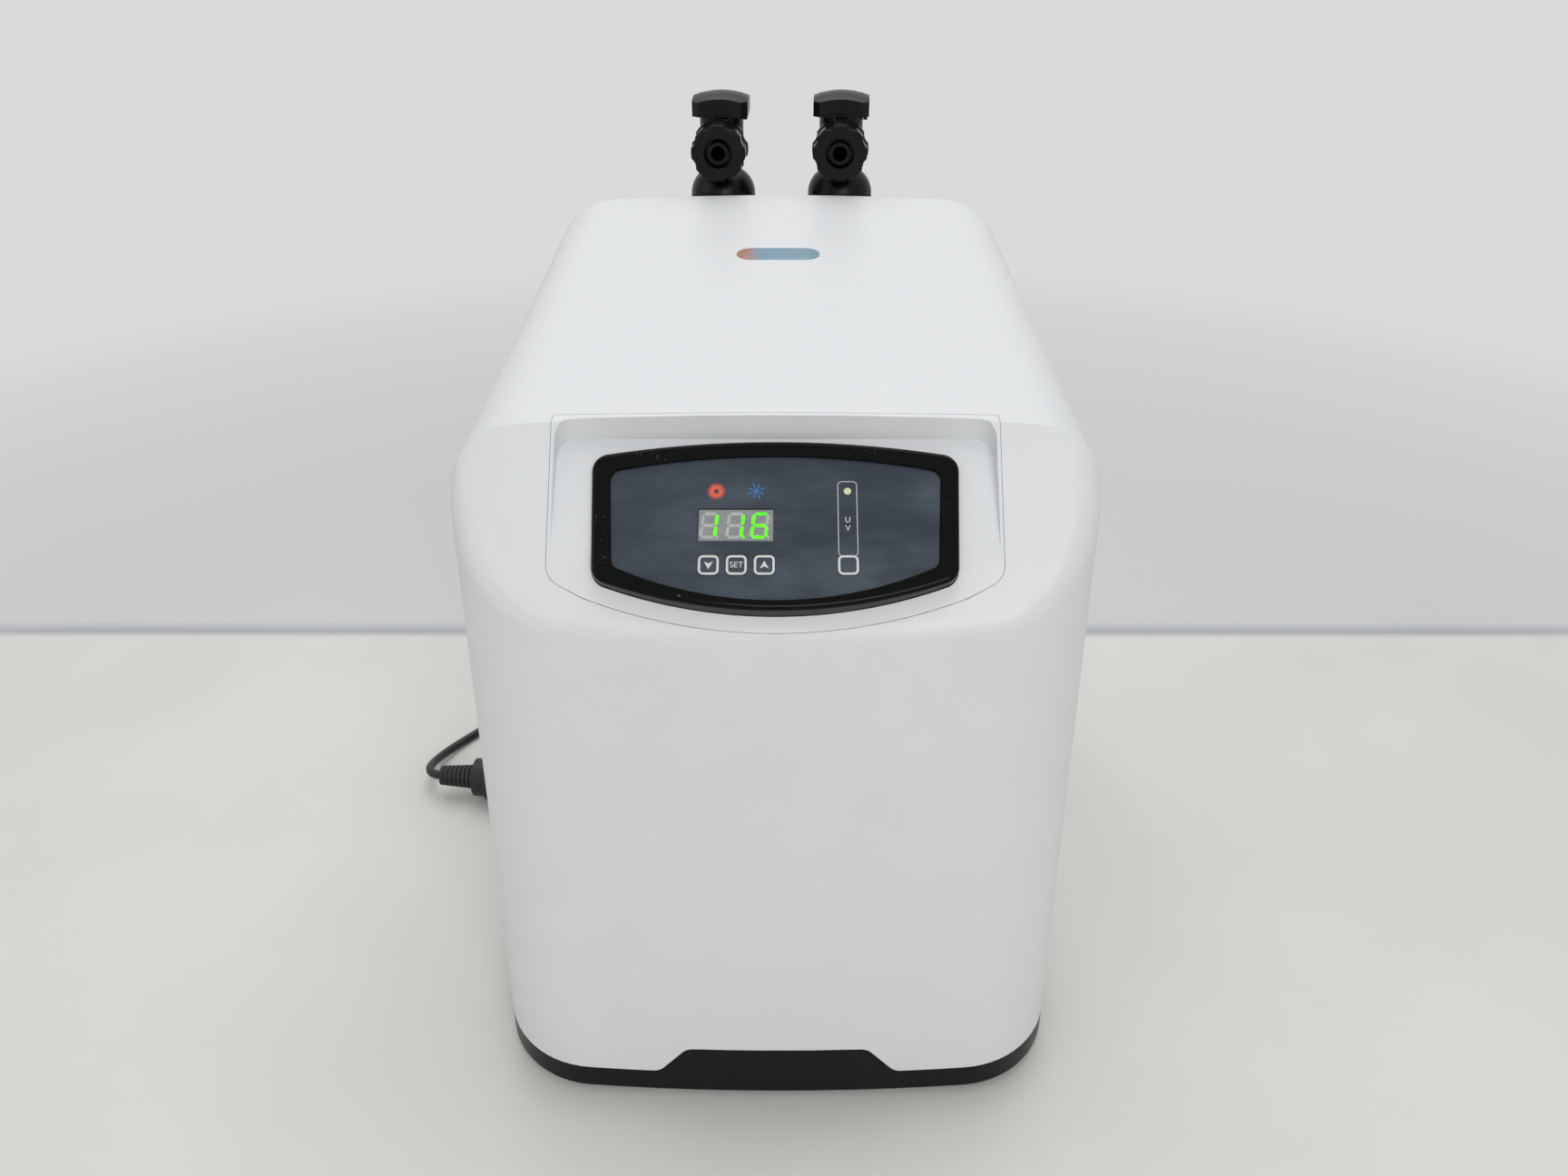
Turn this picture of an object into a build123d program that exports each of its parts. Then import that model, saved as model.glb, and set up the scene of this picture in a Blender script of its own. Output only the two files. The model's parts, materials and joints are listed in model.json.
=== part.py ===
from build123d import *
import math
import os

# Recirculating water chiller: a white moulded hood on a black tray, a sloped display at the front, a fan at
# the back and two angle taps behind the top edge. Sizes are in millimetres. While the pieces are made, y is 0 at
# the middle of the hood's front and grows to the back, and z is 0 on the table. writeNode() moves them so
# that the origin is under the middle of the whole object.

# Hood
hood_width = 350.0
hood_depth = 495.0
hood_wall = 3.0
hood_bottom = 22.0
front_corner = 64.0
rear_corner = 45.0
front_bow = 10.0
draft = math.tan(math.radians(1.3))
brow_y = 82.0
brow_z = 422.0
slope_angle = 49.2
roof_rise = 4.5
roof_crown = 2600.0
roof_edge = 34.0
slope_edge = 18.0
tall_enough = 520.0
fit_gap = 0.25

# Tray
tray_bottom = 3.0
tray_floor = 3.0
tray_edge = 4.0
lip_gap = 0.4
lip_wall = 3.0
lip_height = 12.0
tab_height = 20.5
tab_foot = 145.0
tab_top = 110.0
tab_round = 9.0
tab_shoulder = 14.0

# Display insert, in the plane of the slope: x across and t down from the brow
insert_width = 227.0
insert_top = -2.2
insert_shoulder = 84.0
insert_knee_x = 95.0
insert_knee_t = 94.0
insert_bottom = 111.5
insert_corner = 12.0
basin_width = 223.0
basin_corner = 10.0
basin_wall = 2.5
basin_back_y = 84.2
basin_back_z = 408.0
floor_angle = 39.0
floor_start_t = 69.2

# Bezel and window, in a plane parallel to the basin's floor: x across and s down from the floor's lower end
bezel_lift = 4.5
bezel_depth = 12.4
bezel_half_top = 93.0
bezel_half_bottom = 90.0
bezel_top_s = -58.0
bezel_shoulder_s = -49.5
bezel_waist_s = 16.6
bezel_bottom_s = 33.2
bezel_corner = 9.0
bezel_round = 2.5
rim_side = 9.5
rim_top = 8.5
rim_bottom = 4.7
waist_share = 1.3
window_corner = 6.0
window_sink = 1.6
window_thick = 2.0
window_ledge = 2.5
board_thick = 1.6
board_inset = 2.5
led_x = -19.6
led_s = -11.8
led_width = 37.6
led_height = 17.4
led_sink = 0.4
key_side = 10.5
key_corner = 2.4
key_gap = 0.2
key_proud = 0.3
key_thick = 2.0
key_stem = 4.0
key_travel = 0.6
switch_side = 6.0
switch_height = 3.0
key_row_s = 9.7
key_x = {"key_down": -32.7, "key_set": -19.0, "key_up": -5.3, "key_uv": 35.9}

# Badge on the roof
badge_y = 321.4
badge_length = 55.6
badge_width = 21.5
badge_thick = 1.4
badge_sink = 0.7
badge_gap = 0.15

# Back
panel_rear_y = 482.0
panel_thick = 3.0
panel_gap = 0.4
opening_half = 128.0
opening_top = 415.0
opening_corner = 22.0
fan_x = 0.0
fan_z = 205.0
fan_bore = 96.0
guard_flange = 10.0
guard_thick = 4.0
guard_rings = 7
guard_rib = 2.4
guard_ribs = 6
fan_radius = 90.0
fan_blades = 7
fan_hub = 30.0
fan_depth = 28.0
shaft_radius = 4.0
shaft_gap = 0.06
shroud_side = 216.0
shroud_depth = 42.0
shroud_wall = 3.0
motor_radius = 32.0
motor_length = 34.0
bearing_length = 8.0
fan_gap = 6.0
blade_thick = 1.8
blade_bow = 0.08
root_chord = 30.0
root_pitch = 52.0
tip_chord = 46.0
tip_pitch = 26.0

# Side grille, on the right wall
grille_y = 265.0
grille_z = 190.0
grille_length = 170.0
grille_height = 170.0
grille_flange = 7.0
grille_proud = 1.2
grille_depth = 18.0
grille_frame = 4.0
grille_slats = 15
slat_thick = 2.2
slat_tilt = 35.0
slat_width = 11.0
filter_thick = 6.8

# Taps
tap_middle = 1.7
tap_pitch = 94.0
tap_behind = 15.0
port_z = 395.0
port_radius = 16.9
port_top = 444.0
port_bore = 8.0
port_flange = 20.0
port_flange_thick = 4.0
port_inner = 22.0
port_nut = 7.0
seal_thick = 2.0
union_radius = 25.7
union_bottom = 434.0
union_round_z = 441.8
union_round_height = 22.0
union_top = 460.0
union_flutes = 16
flute_radius = 5.0
flute_depth = 0.9
turn_gap = 0.3
tail_radius = 12.0
tail_flange = 16.5
tail_flange_thick = 4.0
tail_bore = 7.0
chamber_radius = 17.0
chamber_bottom = 463.0
chamber_top = 500.0
plug_radius = 11.0
plug_bottom = 468.0
plug_top = 494.7
stem_radius = 5.0
bonnet_radius = 14.0
bonnet_thick = 5.0
outlet_z = 479.5
barrel_radius = 13.0
collar_radius = 21.8
collar_front = 20.0
collar_thick = 6.0
thread_radius = 15.5
thread_length = 8.0
hose_radius = 8.0
hose_bore = 5.5
hose_length = 11.5
nut_radius = 20.8
nut_lobes = 8
nut_lobe_depth = 1.5
nut_length = 19.0
nut_wall = 3.0
nut_hole = 11.0
knob_side = 43.0
knob_chamfer = 5.0
knob_bottom = 501.8
knob_shoulder = 514.8
knob_crest = 518.6
knob_pocket = 17.5
knob_boss = 9.0
lug_width = 3.0
lug_height = 4.0
left_turn = -1.5
right_turn = -3.0

# Refrigeration, water and power inside
sheet = 1.5
compressor_x = -62.0
compressor_y = 215.0
compressor_radius = 58.0
compressor_height = 150.0
foot_plate = 3.0
grommet_height = 8.0
grommet_radius = 11.0
grommet_neck = 5.0
grommet_pitch = 100.0
grommet_seat = 6.0
stub_spread = 25.0
stub_top = 184.0
stub_height = 24.0
condenser_y = 381.0
condenser_width = 216.0
condenser_height = 240.0
condenser_depth = 30.0
condenser_lift = 60.0
condenser_fins = 19
condenser_tubes = 6
fin_thick = 1.2
tube_thick = 3.0
header_width = 12.0
header_stub = 10.0
stub_level = 100.0
pipe_radius = 4.0
hose_outer = 7.0
hose_inner = 4.5
vessel_x = 84.0
vessel_y = 300.0
vessel_radius = 52.0
vessel_bottom = 34.0
vessel_height = 250.0
vessel_wall = 8.0
vessel_stub = 16.0
water_stub_spread = 22.0
pipe_stub_spread = 25.0
drier_x = -20.0
drier_y = 300.0
drier_z = 110.0
drier_radius = 11.0
drier_length = 90.0
lamp_x = 118.0
lamp_y = 215.0
lamp_radius = 18.0
lamp_length = 284.0
lamp_cap = 24.0
lamp_stub = 16.0
lamp_stub_spread = 10.0
bracket_y = 118.0
bracket_width = 140.0
bracket_foot = 20.0
box_width = 120.0
box_depth = 44.0
box_height = 90.0
box_z = 215.0

# Feet and screws
foot_radius = 15.0
foot_stem = 4.0
foot_x = 125.0
foot_front_y = 62.0
foot_rear_y = 440.0
screw_head = 3.6
screw_shank = 1.7

# Cord
cord_radius = 3.5
gland_x = -70.0
gland_z = 45.0
gland_length = 38.0
gland_radius = 9.0
gland_tip = 5.0
gland_flange = 3.0
coil_x = -120.0
coil_y = 615.0
coil_outer = 49.0
coil_inner = 28.0
coil_height = 13.5
mains_x = -280.0
mains_y = 290.0
mains_turn = 4.0
mains_radius = 18.5
mains_length = 22.0
mains_flat = 3.0
mains_collar = 15.5
mains_collar_length = 10.0
boot_length = 29.0
boot_tip = 8.0
boot_root = 10.0
boot_groove = 1.2
boot_grooves = 7
pin_radius = 2.4
pin_length = 19.0
pin_pitch = 19.0

# The cord's route on the table, chosen by hand, in two stretches: from the strain relief down to the coil,
# and from the coil round the left side to the plug's boot
tail_points = [
    (-70, 520, 45),
    (-70, 546, 45),
    (-71, 569, 29),
    (-73, 590, 10),
    (-74.5, 603, 4.5),
]
lead_points = [
    (-165.5, 597, 4),
    (-166, 558, 3.5),
    (-172, 510, 3.5),
    (-190, 466, 3.5),
    (-218, 428, 3.5),
    (-248, 395, 3.5),
    (-272, 365, 3.5),
    (-287.5, 342, 5),
    (-294, 320, 10.5),
    (-294.5, 302, 16.5),
    (-288, 290.6, 18.5),
    (-280, 290, 18.5),
]

rear_end = hood_depth + tap_behind + union_radius
tap_y = hood_depth + tap_behind
to_origin = Pos(0, -rear_end / 2, 0)


def radians(angle):
    return math.radians(angle)


def writeNode(name, shape):
    """Moves a piece from the front's y = 0 to the part's own origin and writes its STEP file."""
    placed = to_origin * shape
    export_step(placed, f"parts/{name}.step")
    print(name, round(placed.volume), len(placed.faces()))


def across(point_y, point_z, angle):
    """A plane that runs down towards the front: its x is the object's x and its y points up the slope."""
    return Plane(
        origin=(0, point_y, point_z),
        x_dir=(1, 0, 0),
        z_dir=(0, -math.sin(radians(angle)), math.cos(radians(angle))),
    )


slope_plane = across(brow_y, brow_z, slope_angle)
roof_plane = across(brow_y, brow_z, roof_rise)
floor_y = brow_y - floor_start_t * math.cos(radians(slope_angle))
floor_z = brow_z - floor_start_t * math.sin(radians(slope_angle))
floor_plane = across(floor_y, floor_z, floor_angle)


def bezelPlane(depth):
    """The plane of the bezel's top face, or one that lies depth below it."""
    lift = bezel_lift - depth
    return across(
        floor_y - lift * math.sin(radians(floor_angle)),
        floor_z + lift * math.cos(radians(floor_angle)),
        floor_angle,
    )


def planOutline(inset, corner_less):
    """The hood's plan: a bowed front, straight sides and back, and four round corners."""
    half = hood_width / 2 - inset
    front = inset
    back = hood_depth - inset
    outline = Wire(
        [
            ThreePointArc((-half, front + front_bow), (0, front), (half, front + front_bow)),
            Line((half, front + front_bow), (half, back)),
            Line((half, back), (-half, back)),
            Line((-half, back), (-half, front + front_bow)),
        ]
    )
    face = make_face(outline)
    front_points = face.vertices().sort_by(Axis.Y)[:2]
    face = fillet(front_points, front_corner - corner_less)
    rear_points = face.vertices().filter_by(lambda point: point.Y > back - 1)
    return fillet(rear_points, rear_corner - corner_less)


def taperedBlock(inset, low, high):
    """The plan drawn up from low to high, drawn in by the draft."""
    low_face = Pos(0, 0, low) * planOutline(inset + (low - hood_bottom) * draft, inset)
    high_face = Pos(0, 0, high) * planOutline(inset + (high - hood_bottom) * draft, inset)
    return loft([low_face, high_face], ruled=True)


def hoodForm(inset, low):
    """The hood's closed outer form, or the same form drawn in by a wall."""
    block = taperedBlock(inset, low, tall_enough)
    crown = roof_plane * Pos(0, hood_depth / 2, -roof_crown - inset) * Rot(90, 0, 0)
    block = block & crown * Cylinder(roof_crown, 4 * hood_depth)
    roof = block.faces().sort_by(Axis.Z)[-1]
    roofed = fillet(roof.edges(), roof_edge - inset)
    tall = taperedBlock(inset, low, tall_enough)
    cutter_size = 4 * hood_width
    cutter = slope_plane * Pos(0, 0, cutter_size / 2 - inset) * Box(cutter_size, cutter_size, cutter_size)
    sloped = tall - cutter
    slope_faces = sloped.faces().filter_by(
        lambda face: face.geom_type == GeomType.PLANE
        and abs(face.normal_at().dot(slope_plane.z_dir) - 1) < 1e-6
    )
    lower_edges = slope_faces[0].edges().filter_by(lambda edge: edge.center().Z < tall_enough - 1)
    sloped = fillet(lower_edges, slope_edge - inset)
    return roofed & sloped


def roundedBox(length, width, height, corner):
    return extrude(RectangleRounded(length, width, corner), height)


def tabOutline(grow):
    """The tray's raised front tab: straight sides that lean in, with a round foot and top."""
    foot = tab_foot / 2 + grow
    top = tab_top / 2 + grow
    high = hood_bottom + tab_height + grow
    low = hood_bottom - tab_height
    seam = hood_bottom + grow
    reach = foot + tab_shoulder
    points = [(-reach, low), (reach, low), (reach, seam), (foot, seam), (top, high), (-top, high)]
    points += [(-foot, seam), (-reach, seam)]
    face = make_face(Polyline(*points, close=True))
    bends = face.vertices().filter_by(lambda point: point.Y > seam - 1 and abs(point.X) < reach - 1)
    return fillet(bends, tab_round)


def tabPrism(grow):
    face = Plane.XZ * tabOutline(grow)
    return extrude(face, amount=-2 * front_corner)


def insertOutline(gap):
    """The insert's outline in the slope's plane: straight sides, knees and one long lower arc."""
    half = insert_width / 2 - gap
    top = -insert_top - gap
    knee = (insert_knee_x - gap, -insert_knee_t + gap)
    bottom = (0, -insert_bottom + gap)
    outline = Wire(
        [
            Line((-half, top), (half, top)),
            Line((half, top), (half, -insert_shoulder)),
            Line((half, -insert_shoulder), knee),
            ThreePointArc(knee, bottom, (-knee[0], knee[1])),
            Line((-knee[0], knee[1]), (-half, -insert_shoulder)),
            Line((-half, -insert_shoulder), (-half, top)),
        ]
    )
    face = make_face(outline)
    shoulders = face.vertices().filter_by(lambda point: abs(point.Y + insert_shoulder) < 0.1)
    return fillet(shoulders, insert_corner)


def insertPrism(gap):
    deep = 3 * slope_edge
    return slope_plane * Pos(0, 0, -deep) * extrude(insertOutline(gap), 2 * deep)


def basinBlock(grow):
    """The space of the basin, or its outer form when grow is the wall: a wedge under the brow."""
    back_run = basin_back_y - brow_y
    back_rise = brow_z - basin_back_z
    top_y = brow_y + grow - back_run / back_rise * roof_edge
    floor_slope = math.tan(radians(floor_angle))
    drop = grow / math.cos(radians(floor_angle))
    back_z = basin_back_z + grow * floor_slope - drop
    front_y = floor_y - roof_edge
    front_z = floor_z - roof_edge * floor_slope - drop
    points = [
        (basin_back_y + grow, back_z),
        (front_y, front_z),
        (front_y, front_z + 4 * roof_edge),
        (top_y, brow_z + roof_edge),
    ]
    side = make_face(Polyline(*points, close=True))
    half = basin_width / 2 + grow
    block = Pos(-half, 0, 0) * extrude(Plane.YZ * side, amount=2 * half)
    upright = block.edges().filter_by(
        lambda edge: edge.center().Y > brow_y - 2 and abs(edge.center().X) > half - 1 and edge.length > 20
    )
    upright = upright.filter_by(lambda edge: edge.center().Y > basin_back_y + grow - back_run - 3)
    return fillet(upright, basin_corner + grow)


def bezelOutline(side_in, top_in, bottom_in, corner):
    """A shield: bowed top and bottom, sides that draw in a little downwards."""
    top_half = bezel_half_top - side_in
    low_half = bezel_half_bottom - side_in
    top = -bezel_top_s - top_in
    shoulder = -bezel_shoulder_s - top_in
    waist = -bezel_waist_s + bottom_in * waist_share
    bottom = -bezel_bottom_s + bottom_in
    outline = Wire(
        [
            ThreePointArc((-top_half, shoulder), (0, top), (top_half, shoulder)),
            Line((top_half, shoulder), (low_half, waist)),
            ThreePointArc((low_half, waist), (0, bottom), (-low_half, waist)),
            Line((-low_half, waist), (-top_half, shoulder)),
        ]
    )
    face = make_face(outline)
    return fillet(face.vertices(), corner)


def windowOutline(gap):
    return bezelOutline(rim_side + gap, rim_top + gap, rim_bottom + gap, window_corner)


def makeTray():
    outer = taperedBlock(0, tray_bottom, hood_bottom)
    bottom = outer.faces().sort_by(Axis.Z)[0]
    outer = fillet(bottom.edges(), tray_edge)
    lip_inset = hood_wall + lip_gap
    lip_top = hood_bottom + lip_height
    outer += taperedBlock(lip_inset, hood_bottom - tray_floor, lip_top)
    tab = taperedBlock(0, hood_bottom, hood_bottom + tab_height + tray_edge) & tabPrism(-lip_gap)
    tray = outer + tab
    inner_inset = lip_inset + lip_wall
    tray -= taperedBlock(inner_inset, tray_bottom + tray_floor, hood_bottom + 2 * tab_height)
    for x, y in footPlaces():
        tray -= Pos(x, y, tray_bottom) * Cylinder(foot_stem + 0.1, 4 * tray_floor)
    for x, y in grommetPlaces():
        tray += Pos(x, y, tray_bottom + tray_floor + grommet_seat / 2) * Cylinder(grommet_radius, grommet_seat)
    return tray


def footPlaces():
    return [(side * foot_x, y) for side in (-1, 1) for y in (foot_front_y, foot_rear_y)]


def grommetPlaces():
    half = grommet_pitch / 2
    return [(compressor_x + a * half, compressor_y + b * half) for a in (-1, 1) for b in (-1, 1)]


def makeFeet():
    feet = []
    for x, y in footPlaces():
        pad = Pos(x, y, tray_bottom / 2) * Cylinder(foot_radius, tray_bottom)
        stem = Pos(x, y, tray_bottom + tray_floor / 2) * Cylinder(foot_stem, tray_floor)
        feet.append(pad + stem)
    return Compound(children=feet)


def makeShell():
    return outer_form - inner_form


def makeHood():
    hood = makeShell() - tabPrism(0) - insertPrism(0)
    opening = RectangleRounded(2 * opening_half, 2 * opening_top, opening_corner)
    hood -= Pos(0, hood_depth, 0) * Rot(90, 0, 0) * extrude(opening, rear_corner / 2)
    hole = roundedBox(grille_length, grille_height, grille_depth, grille_frame)
    hood -= grillePlane() * Pos(0, 0, -grille_depth / 2) * hole
    return hood - badgeSolid(badge_gap, badge_sink + badge_thick)


def badgeSolid(grow, height):
    """The badge's pill, from its seat in the roof up to height."""
    along = (badge_y - brow_y) / math.cos(radians(roof_rise))
    pill = SlotOverall(badge_length + 2 * grow, badge_width + 2 * grow)
    return roof_plane * Pos(0, along, -badge_sink) * extrude(pill, height)


def makeBadge():
    badge = badgeSolid(0, badge_thick)
    rim = badge.faces().filter_by(lambda face: face.normal_at().dot(roof_plane.z_dir) > 0.99)
    return fillet(rim[0].edges(), badge_thick - badge_sink - 0.1)


def makeInsert():
    zone = insertPrism(fit_gap)
    insert = makeShell() & zone
    insert += basinBlock(basin_wall) & outer_form & zone
    insert -= basinBlock(0)
    opening = bezelOutline(-fit_gap, -fit_gap, -fit_gap, bezel_corner)
    return insert - bezelPlane(3 * bezel_depth) * extrude(opening, 4 * bezel_depth)


def makeBezel():
    ring = bezelPlane(bezel_depth) * extrude(bezelOutline(0, 0, 0, bezel_corner), bezel_depth)
    normal = bezelPlane(0).z_dir
    top = ring.faces().filter_by(lambda face: face.normal_at().dot(normal) > 0.99)[0]
    ring = fillet(top.edges(), bezel_round)
    ring -= bezelPlane(window_sink + window_thick) * extrude(windowOutline(0), bezel_depth)
    return ring - bezelPlane(2 * bezel_depth) * extrude(windowOutline(window_ledge), 2 * bezel_depth)


def makeWindow():
    plane = bezelPlane(window_sink + window_thick)
    window = plane * extrude(windowOutline(key_gap), window_thick)
    led_hole = Pos(led_x, -led_s) * Rectangle(led_width + 2 * key_gap, led_height + 2 * key_gap)
    window -= plane * extrude(led_hole, window_thick)
    for x in key_x.values():
        side = key_side + 2 * key_gap
        hole = Pos(x, -key_row_s) * RectangleRounded(side, side, key_corner + key_gap)
        window -= plane * extrude(hole, window_thick)
    return window


def makeKey(x):
    """A key: a square cap in the window and a stem to its switch."""
    top = bezelPlane(window_sink - key_proud)
    cap = extrude(RectangleRounded(key_side, key_side, key_corner), -key_thick)
    stem_length = bezel_depth - window_sink + key_proud - key_thick - switch_height - key_travel - key_gap
    stem = extrude(RectangleRounded(key_stem, key_stem, 1.0), -stem_length)
    key = cap + Pos(0, 0, -key_thick) * stem
    crown = key.edges().filter_by(lambda edge: abs(edge.center().Z) < 0.01)
    key = chamfer(crown, 0.2)
    return top * Pos(x, -key_row_s, 0) * key


def makeLed():
    """The three-digit module: it stands on the board and its face lies in the window."""
    height = bezel_depth - window_sink - led_sink
    block = Pos(led_x, -led_s) * extrude(Rectangle(led_width, led_height), height)
    rim = block.edges().filter_by(lambda edge: edge.center().Z > height - 0.01)
    return bezelPlane(bezel_depth) * chamfer(rim, 0.4)


def makeBoard():
    """The display board on the bezel's back, with a switch under each key."""
    outline = bezelOutline(board_inset, board_inset, board_inset, bezel_corner - board_inset)
    board = extrude(outline, -board_thick)
    for x in key_x.values():
        board += Pos(x, -key_row_s, 0) * extrude(Rectangle(switch_side, switch_side), switch_height)
    return bezelPlane(bezel_depth) * board


def makePanel():
    """The back panel: it stands on the tray inside the hood and carries the fan, the taps and the cord."""
    low = tray_bottom + tray_floor
    reach = hood_width
    slab = Pos(0, panel_rear_y - panel_thick / 2, low + reach) * Box(reach, panel_thick, 2 * reach)
    within = taperedBlock(hood_wall + lip_gap + lip_wall + panel_gap, low, hood_bottom + lip_height)
    upper = hoodForm(hood_wall + panel_gap, hood_bottom + lip_height)
    panel = (slab & within) + (slab & upper)
    through = 3 * panel_thick
    panel -= atPanel(fan_x, fan_z) * Cylinder(fan_bore, through)
    for x in tapPlaces():
        panel -= atPanel(x, port_z) * Cylinder(port_radius - 2, through)
    panel -= atPanel(gland_x, gland_z) * Cylinder(gland_radius, through)
    for x, z in guardScrews():
        panel -= atPanel(x, z) * Cylinder(screw_shank + 0.1, through)
    return panel


def atPanel(x, z):
    """A place on the panel's rear face, with z pointing to the back."""
    return Pos(x, panel_rear_y, z) * Rot(-90, 0, 0)


def tapPlaces():
    return [tap_middle - tap_pitch / 2, tap_middle + tap_pitch / 2]


def guardScrews():
    reach = (fan_bore + guard_flange / 2) * math.sqrt(0.5)
    return [(fan_x + a * reach, fan_z + b * reach) for a in (-1, 1) for b in (-1, 1)]


def makeGuard():
    """The fan guard: flat rings on radial ribs inside a flange that is screwed to the panel."""
    flange = Cylinder(fan_bore + guard_flange, guard_thick) - Cylinder(fan_bore - 2, guard_thick)
    guard = flange + Cylinder(fan_hub - guard_rib, guard_thick)
    step = (fan_bore - fan_hub) / guard_rings
    for count in range(1, guard_rings):
        middle = fan_hub + count * step
        ring = Cylinder(middle + guard_rib / 2, guard_thick) - Cylinder(middle - guard_rib / 2, guard_thick)
        guard += ring
    for count in range(guard_ribs):
        rib = Pos(fan_bore / 2, 0, 0) * Box(fan_bore, guard_rib, guard_thick)
        guard += Rot(0, 0, 360 * count / guard_ribs) * rib
    guard = atPanel(fan_x, fan_z) * Pos(0, 0, guard_thick / 2) * guard
    for x, z in guardScrews():
        guard -= atPanel(x, z) * Cylinder(screw_shank + 0.1, 4 * guard_thick)
    return guard


def makeShroud():
    """The fan's housing: a square plate with a round duct, and three arms that hold the motor."""
    plate = Pos(0, 0, -shroud_wall / 2) * Box(shroud_side, shroud_side, shroud_wall)
    duct = Pos(0, 0, -shroud_depth / 2) * Cylinder(fan_bore, shroud_depth)
    shroud = plate + duct
    shroud -= Pos(0, 0, -shroud_depth / 2) * Cylinder(fan_bore - shroud_wall, shroud_depth + 1)
    arm_z = -shroud_depth + shroud_wall / 2
    for count in range(3):
        arm = Pos((fan_bore + motor_radius) / 2, 0, arm_z) * Box(fan_bore - motor_radius - 2, 12, shroud_wall)
        shroud += Rot(0, 0, 90 + 120 * count) * arm
    seat = Pos(0, 0, arm_z) * (Cylinder(motor_radius + 4, shroud_wall) - Cylinder(motor_radius, shroud_wall))
    shroud += seat
    shroud = atPanel(fan_x, fan_z) * Pos(0, 0, -panel_thick) * shroud
    for x, z in guardScrews():
        shroud -= atPanel(x, z) * Cylinder(screw_shank + 0.1, 4 * guard_thick + 2 * panel_thick)
    return shroud


def makeMotor():
    """The fan's motor: a can in the shroud's seat, with a bearing for the shaft at each end."""
    can = Cylinder(motor_radius, motor_length) - Cylinder(shaft_radius + 1, motor_length)
    bearing = Cylinder(shaft_radius + 3, bearing_length) - Cylinder(shaft_radius + shaft_gap, bearing_length)
    end = (motor_length - bearing_length) / 2
    for side in (-1, 1):
        can += Pos(0, 0, side * end) * bearing
    top = -panel_thick - shroud_depth + shroud_wall
    return atPanel(fan_x, fan_z) * Pos(0, 0, top - motor_length / 2) * can


def bladeSection(chord, pitch):
    """A thin curved blade section, chord long and turned by pitch degrees."""
    half = chord / 2
    bow = chord * blade_bow
    outline = Wire(
        [
            ThreePointArc((-half, 0), (0, bow), (half, 0)),
            Line((half, 0), (half, blade_thick)),
            ThreePointArc((half, blade_thick), (0, bow + blade_thick), (-half, blade_thick)),
            Line((-half, blade_thick), (-half, 0)),
        ]
    )
    return Rot(0, 0, pitch) * make_face(outline)


def makeFan():
    """The fan: a hub with twisted blades and a shaft in the motor's bearings."""
    hub = Cylinder(fan_hub, fan_depth)
    hub = fillet(hub.edges().sort_by(Axis.Z)[-1], 4)
    fan = hub
    for count in range(fan_blades):
        root = Plane.YZ.offset(fan_hub - 3) * bladeSection(root_chord, root_pitch)
        tip = Plane.YZ.offset(fan_radius) * bladeSection(tip_chord, tip_pitch)
        fan += Rot(0, 0, 360 * count / fan_blades) * loft([root, tip])
    middle = -panel_thick - fan_gap - fan_depth / 2
    hub_end = middle - fan_depth / 2
    shaft_end = -panel_thick - shroud_depth + shroud_wall - motor_length
    shaft = Pos(0, 0, (hub_end + shaft_end) / 2 - middle) * Cylinder(shaft_radius, hub_end - shaft_end)
    return atPanel(fan_x, fan_z) * Pos(0, 0, middle) * (fan + shaft)


def grillePlane():
    """The right wall's outer plane at the grille's middle: x runs to the back and y up the wall."""
    tilt = math.atan(draft)
    wall_x = hood_width / 2 - (grille_z - hood_bottom) * draft
    return Plane(
        origin=(wall_x, grille_y, grille_z),
        x_dir=(0, 1, 0),
        z_dir=(math.cos(tilt), 0, math.sin(tilt)),
    )


def makeGrille():
    """The side grille: a frame that slips through the wall, a flange outside it and tilted slats."""
    length = grille_length - 2 * turn_gap
    height = grille_height - 2 * turn_gap
    inner_length = length - 2 * grille_frame
    inner_height = height - 2 * grille_frame
    frame = Pos(0, 0, -grille_depth) * roundedBox(length, height, grille_depth + grille_proud, grille_frame)
    flange = roundedBox(
        grille_length + 2 * grille_flange, grille_height + 2 * grille_flange, grille_proud, grille_flange
    )
    grille = frame + Pos(0, 0, turn_gap / 3) * flange
    grille -= Pos(0, 0, -2 * grille_depth) * extrude(Rectangle(inner_length, inner_height), 4 * grille_depth)
    step = inner_height / grille_slats
    for count in range(grille_slats):
        place = Pos(0, (count + 0.5) * step - inner_height / 2, -slat_width / 2)
        grille += place * Rot(slat_tilt, 0, 0) * Box(inner_length + 1, slat_thick, slat_width)
    post = Pos(0, 0, -slat_width / 2) * Box(grille_frame, inner_height + 1, slat_width / 2)
    return grillePlane() * (grille + post)


def makeFilter():
    """The foam filter that lies in the grille's frame behind the slats."""
    length = grille_length - 2 * turn_gap - 2 * grille_frame
    height = grille_height - 2 * turn_gap - 2 * grille_frame
    foam = extrude(Rectangle(length, height), -filter_thick)
    back = Pos(0, 0, -grille_depth + filter_thick)
    return grillePlane() * back * foam


def atTap(x, turn):
    """A tap's own frame: z on its vertical axis, and its outlet along -y, turned with the tap."""
    return Pos(x, tap_y, 0) * Rot(0, 0, turn)


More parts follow.
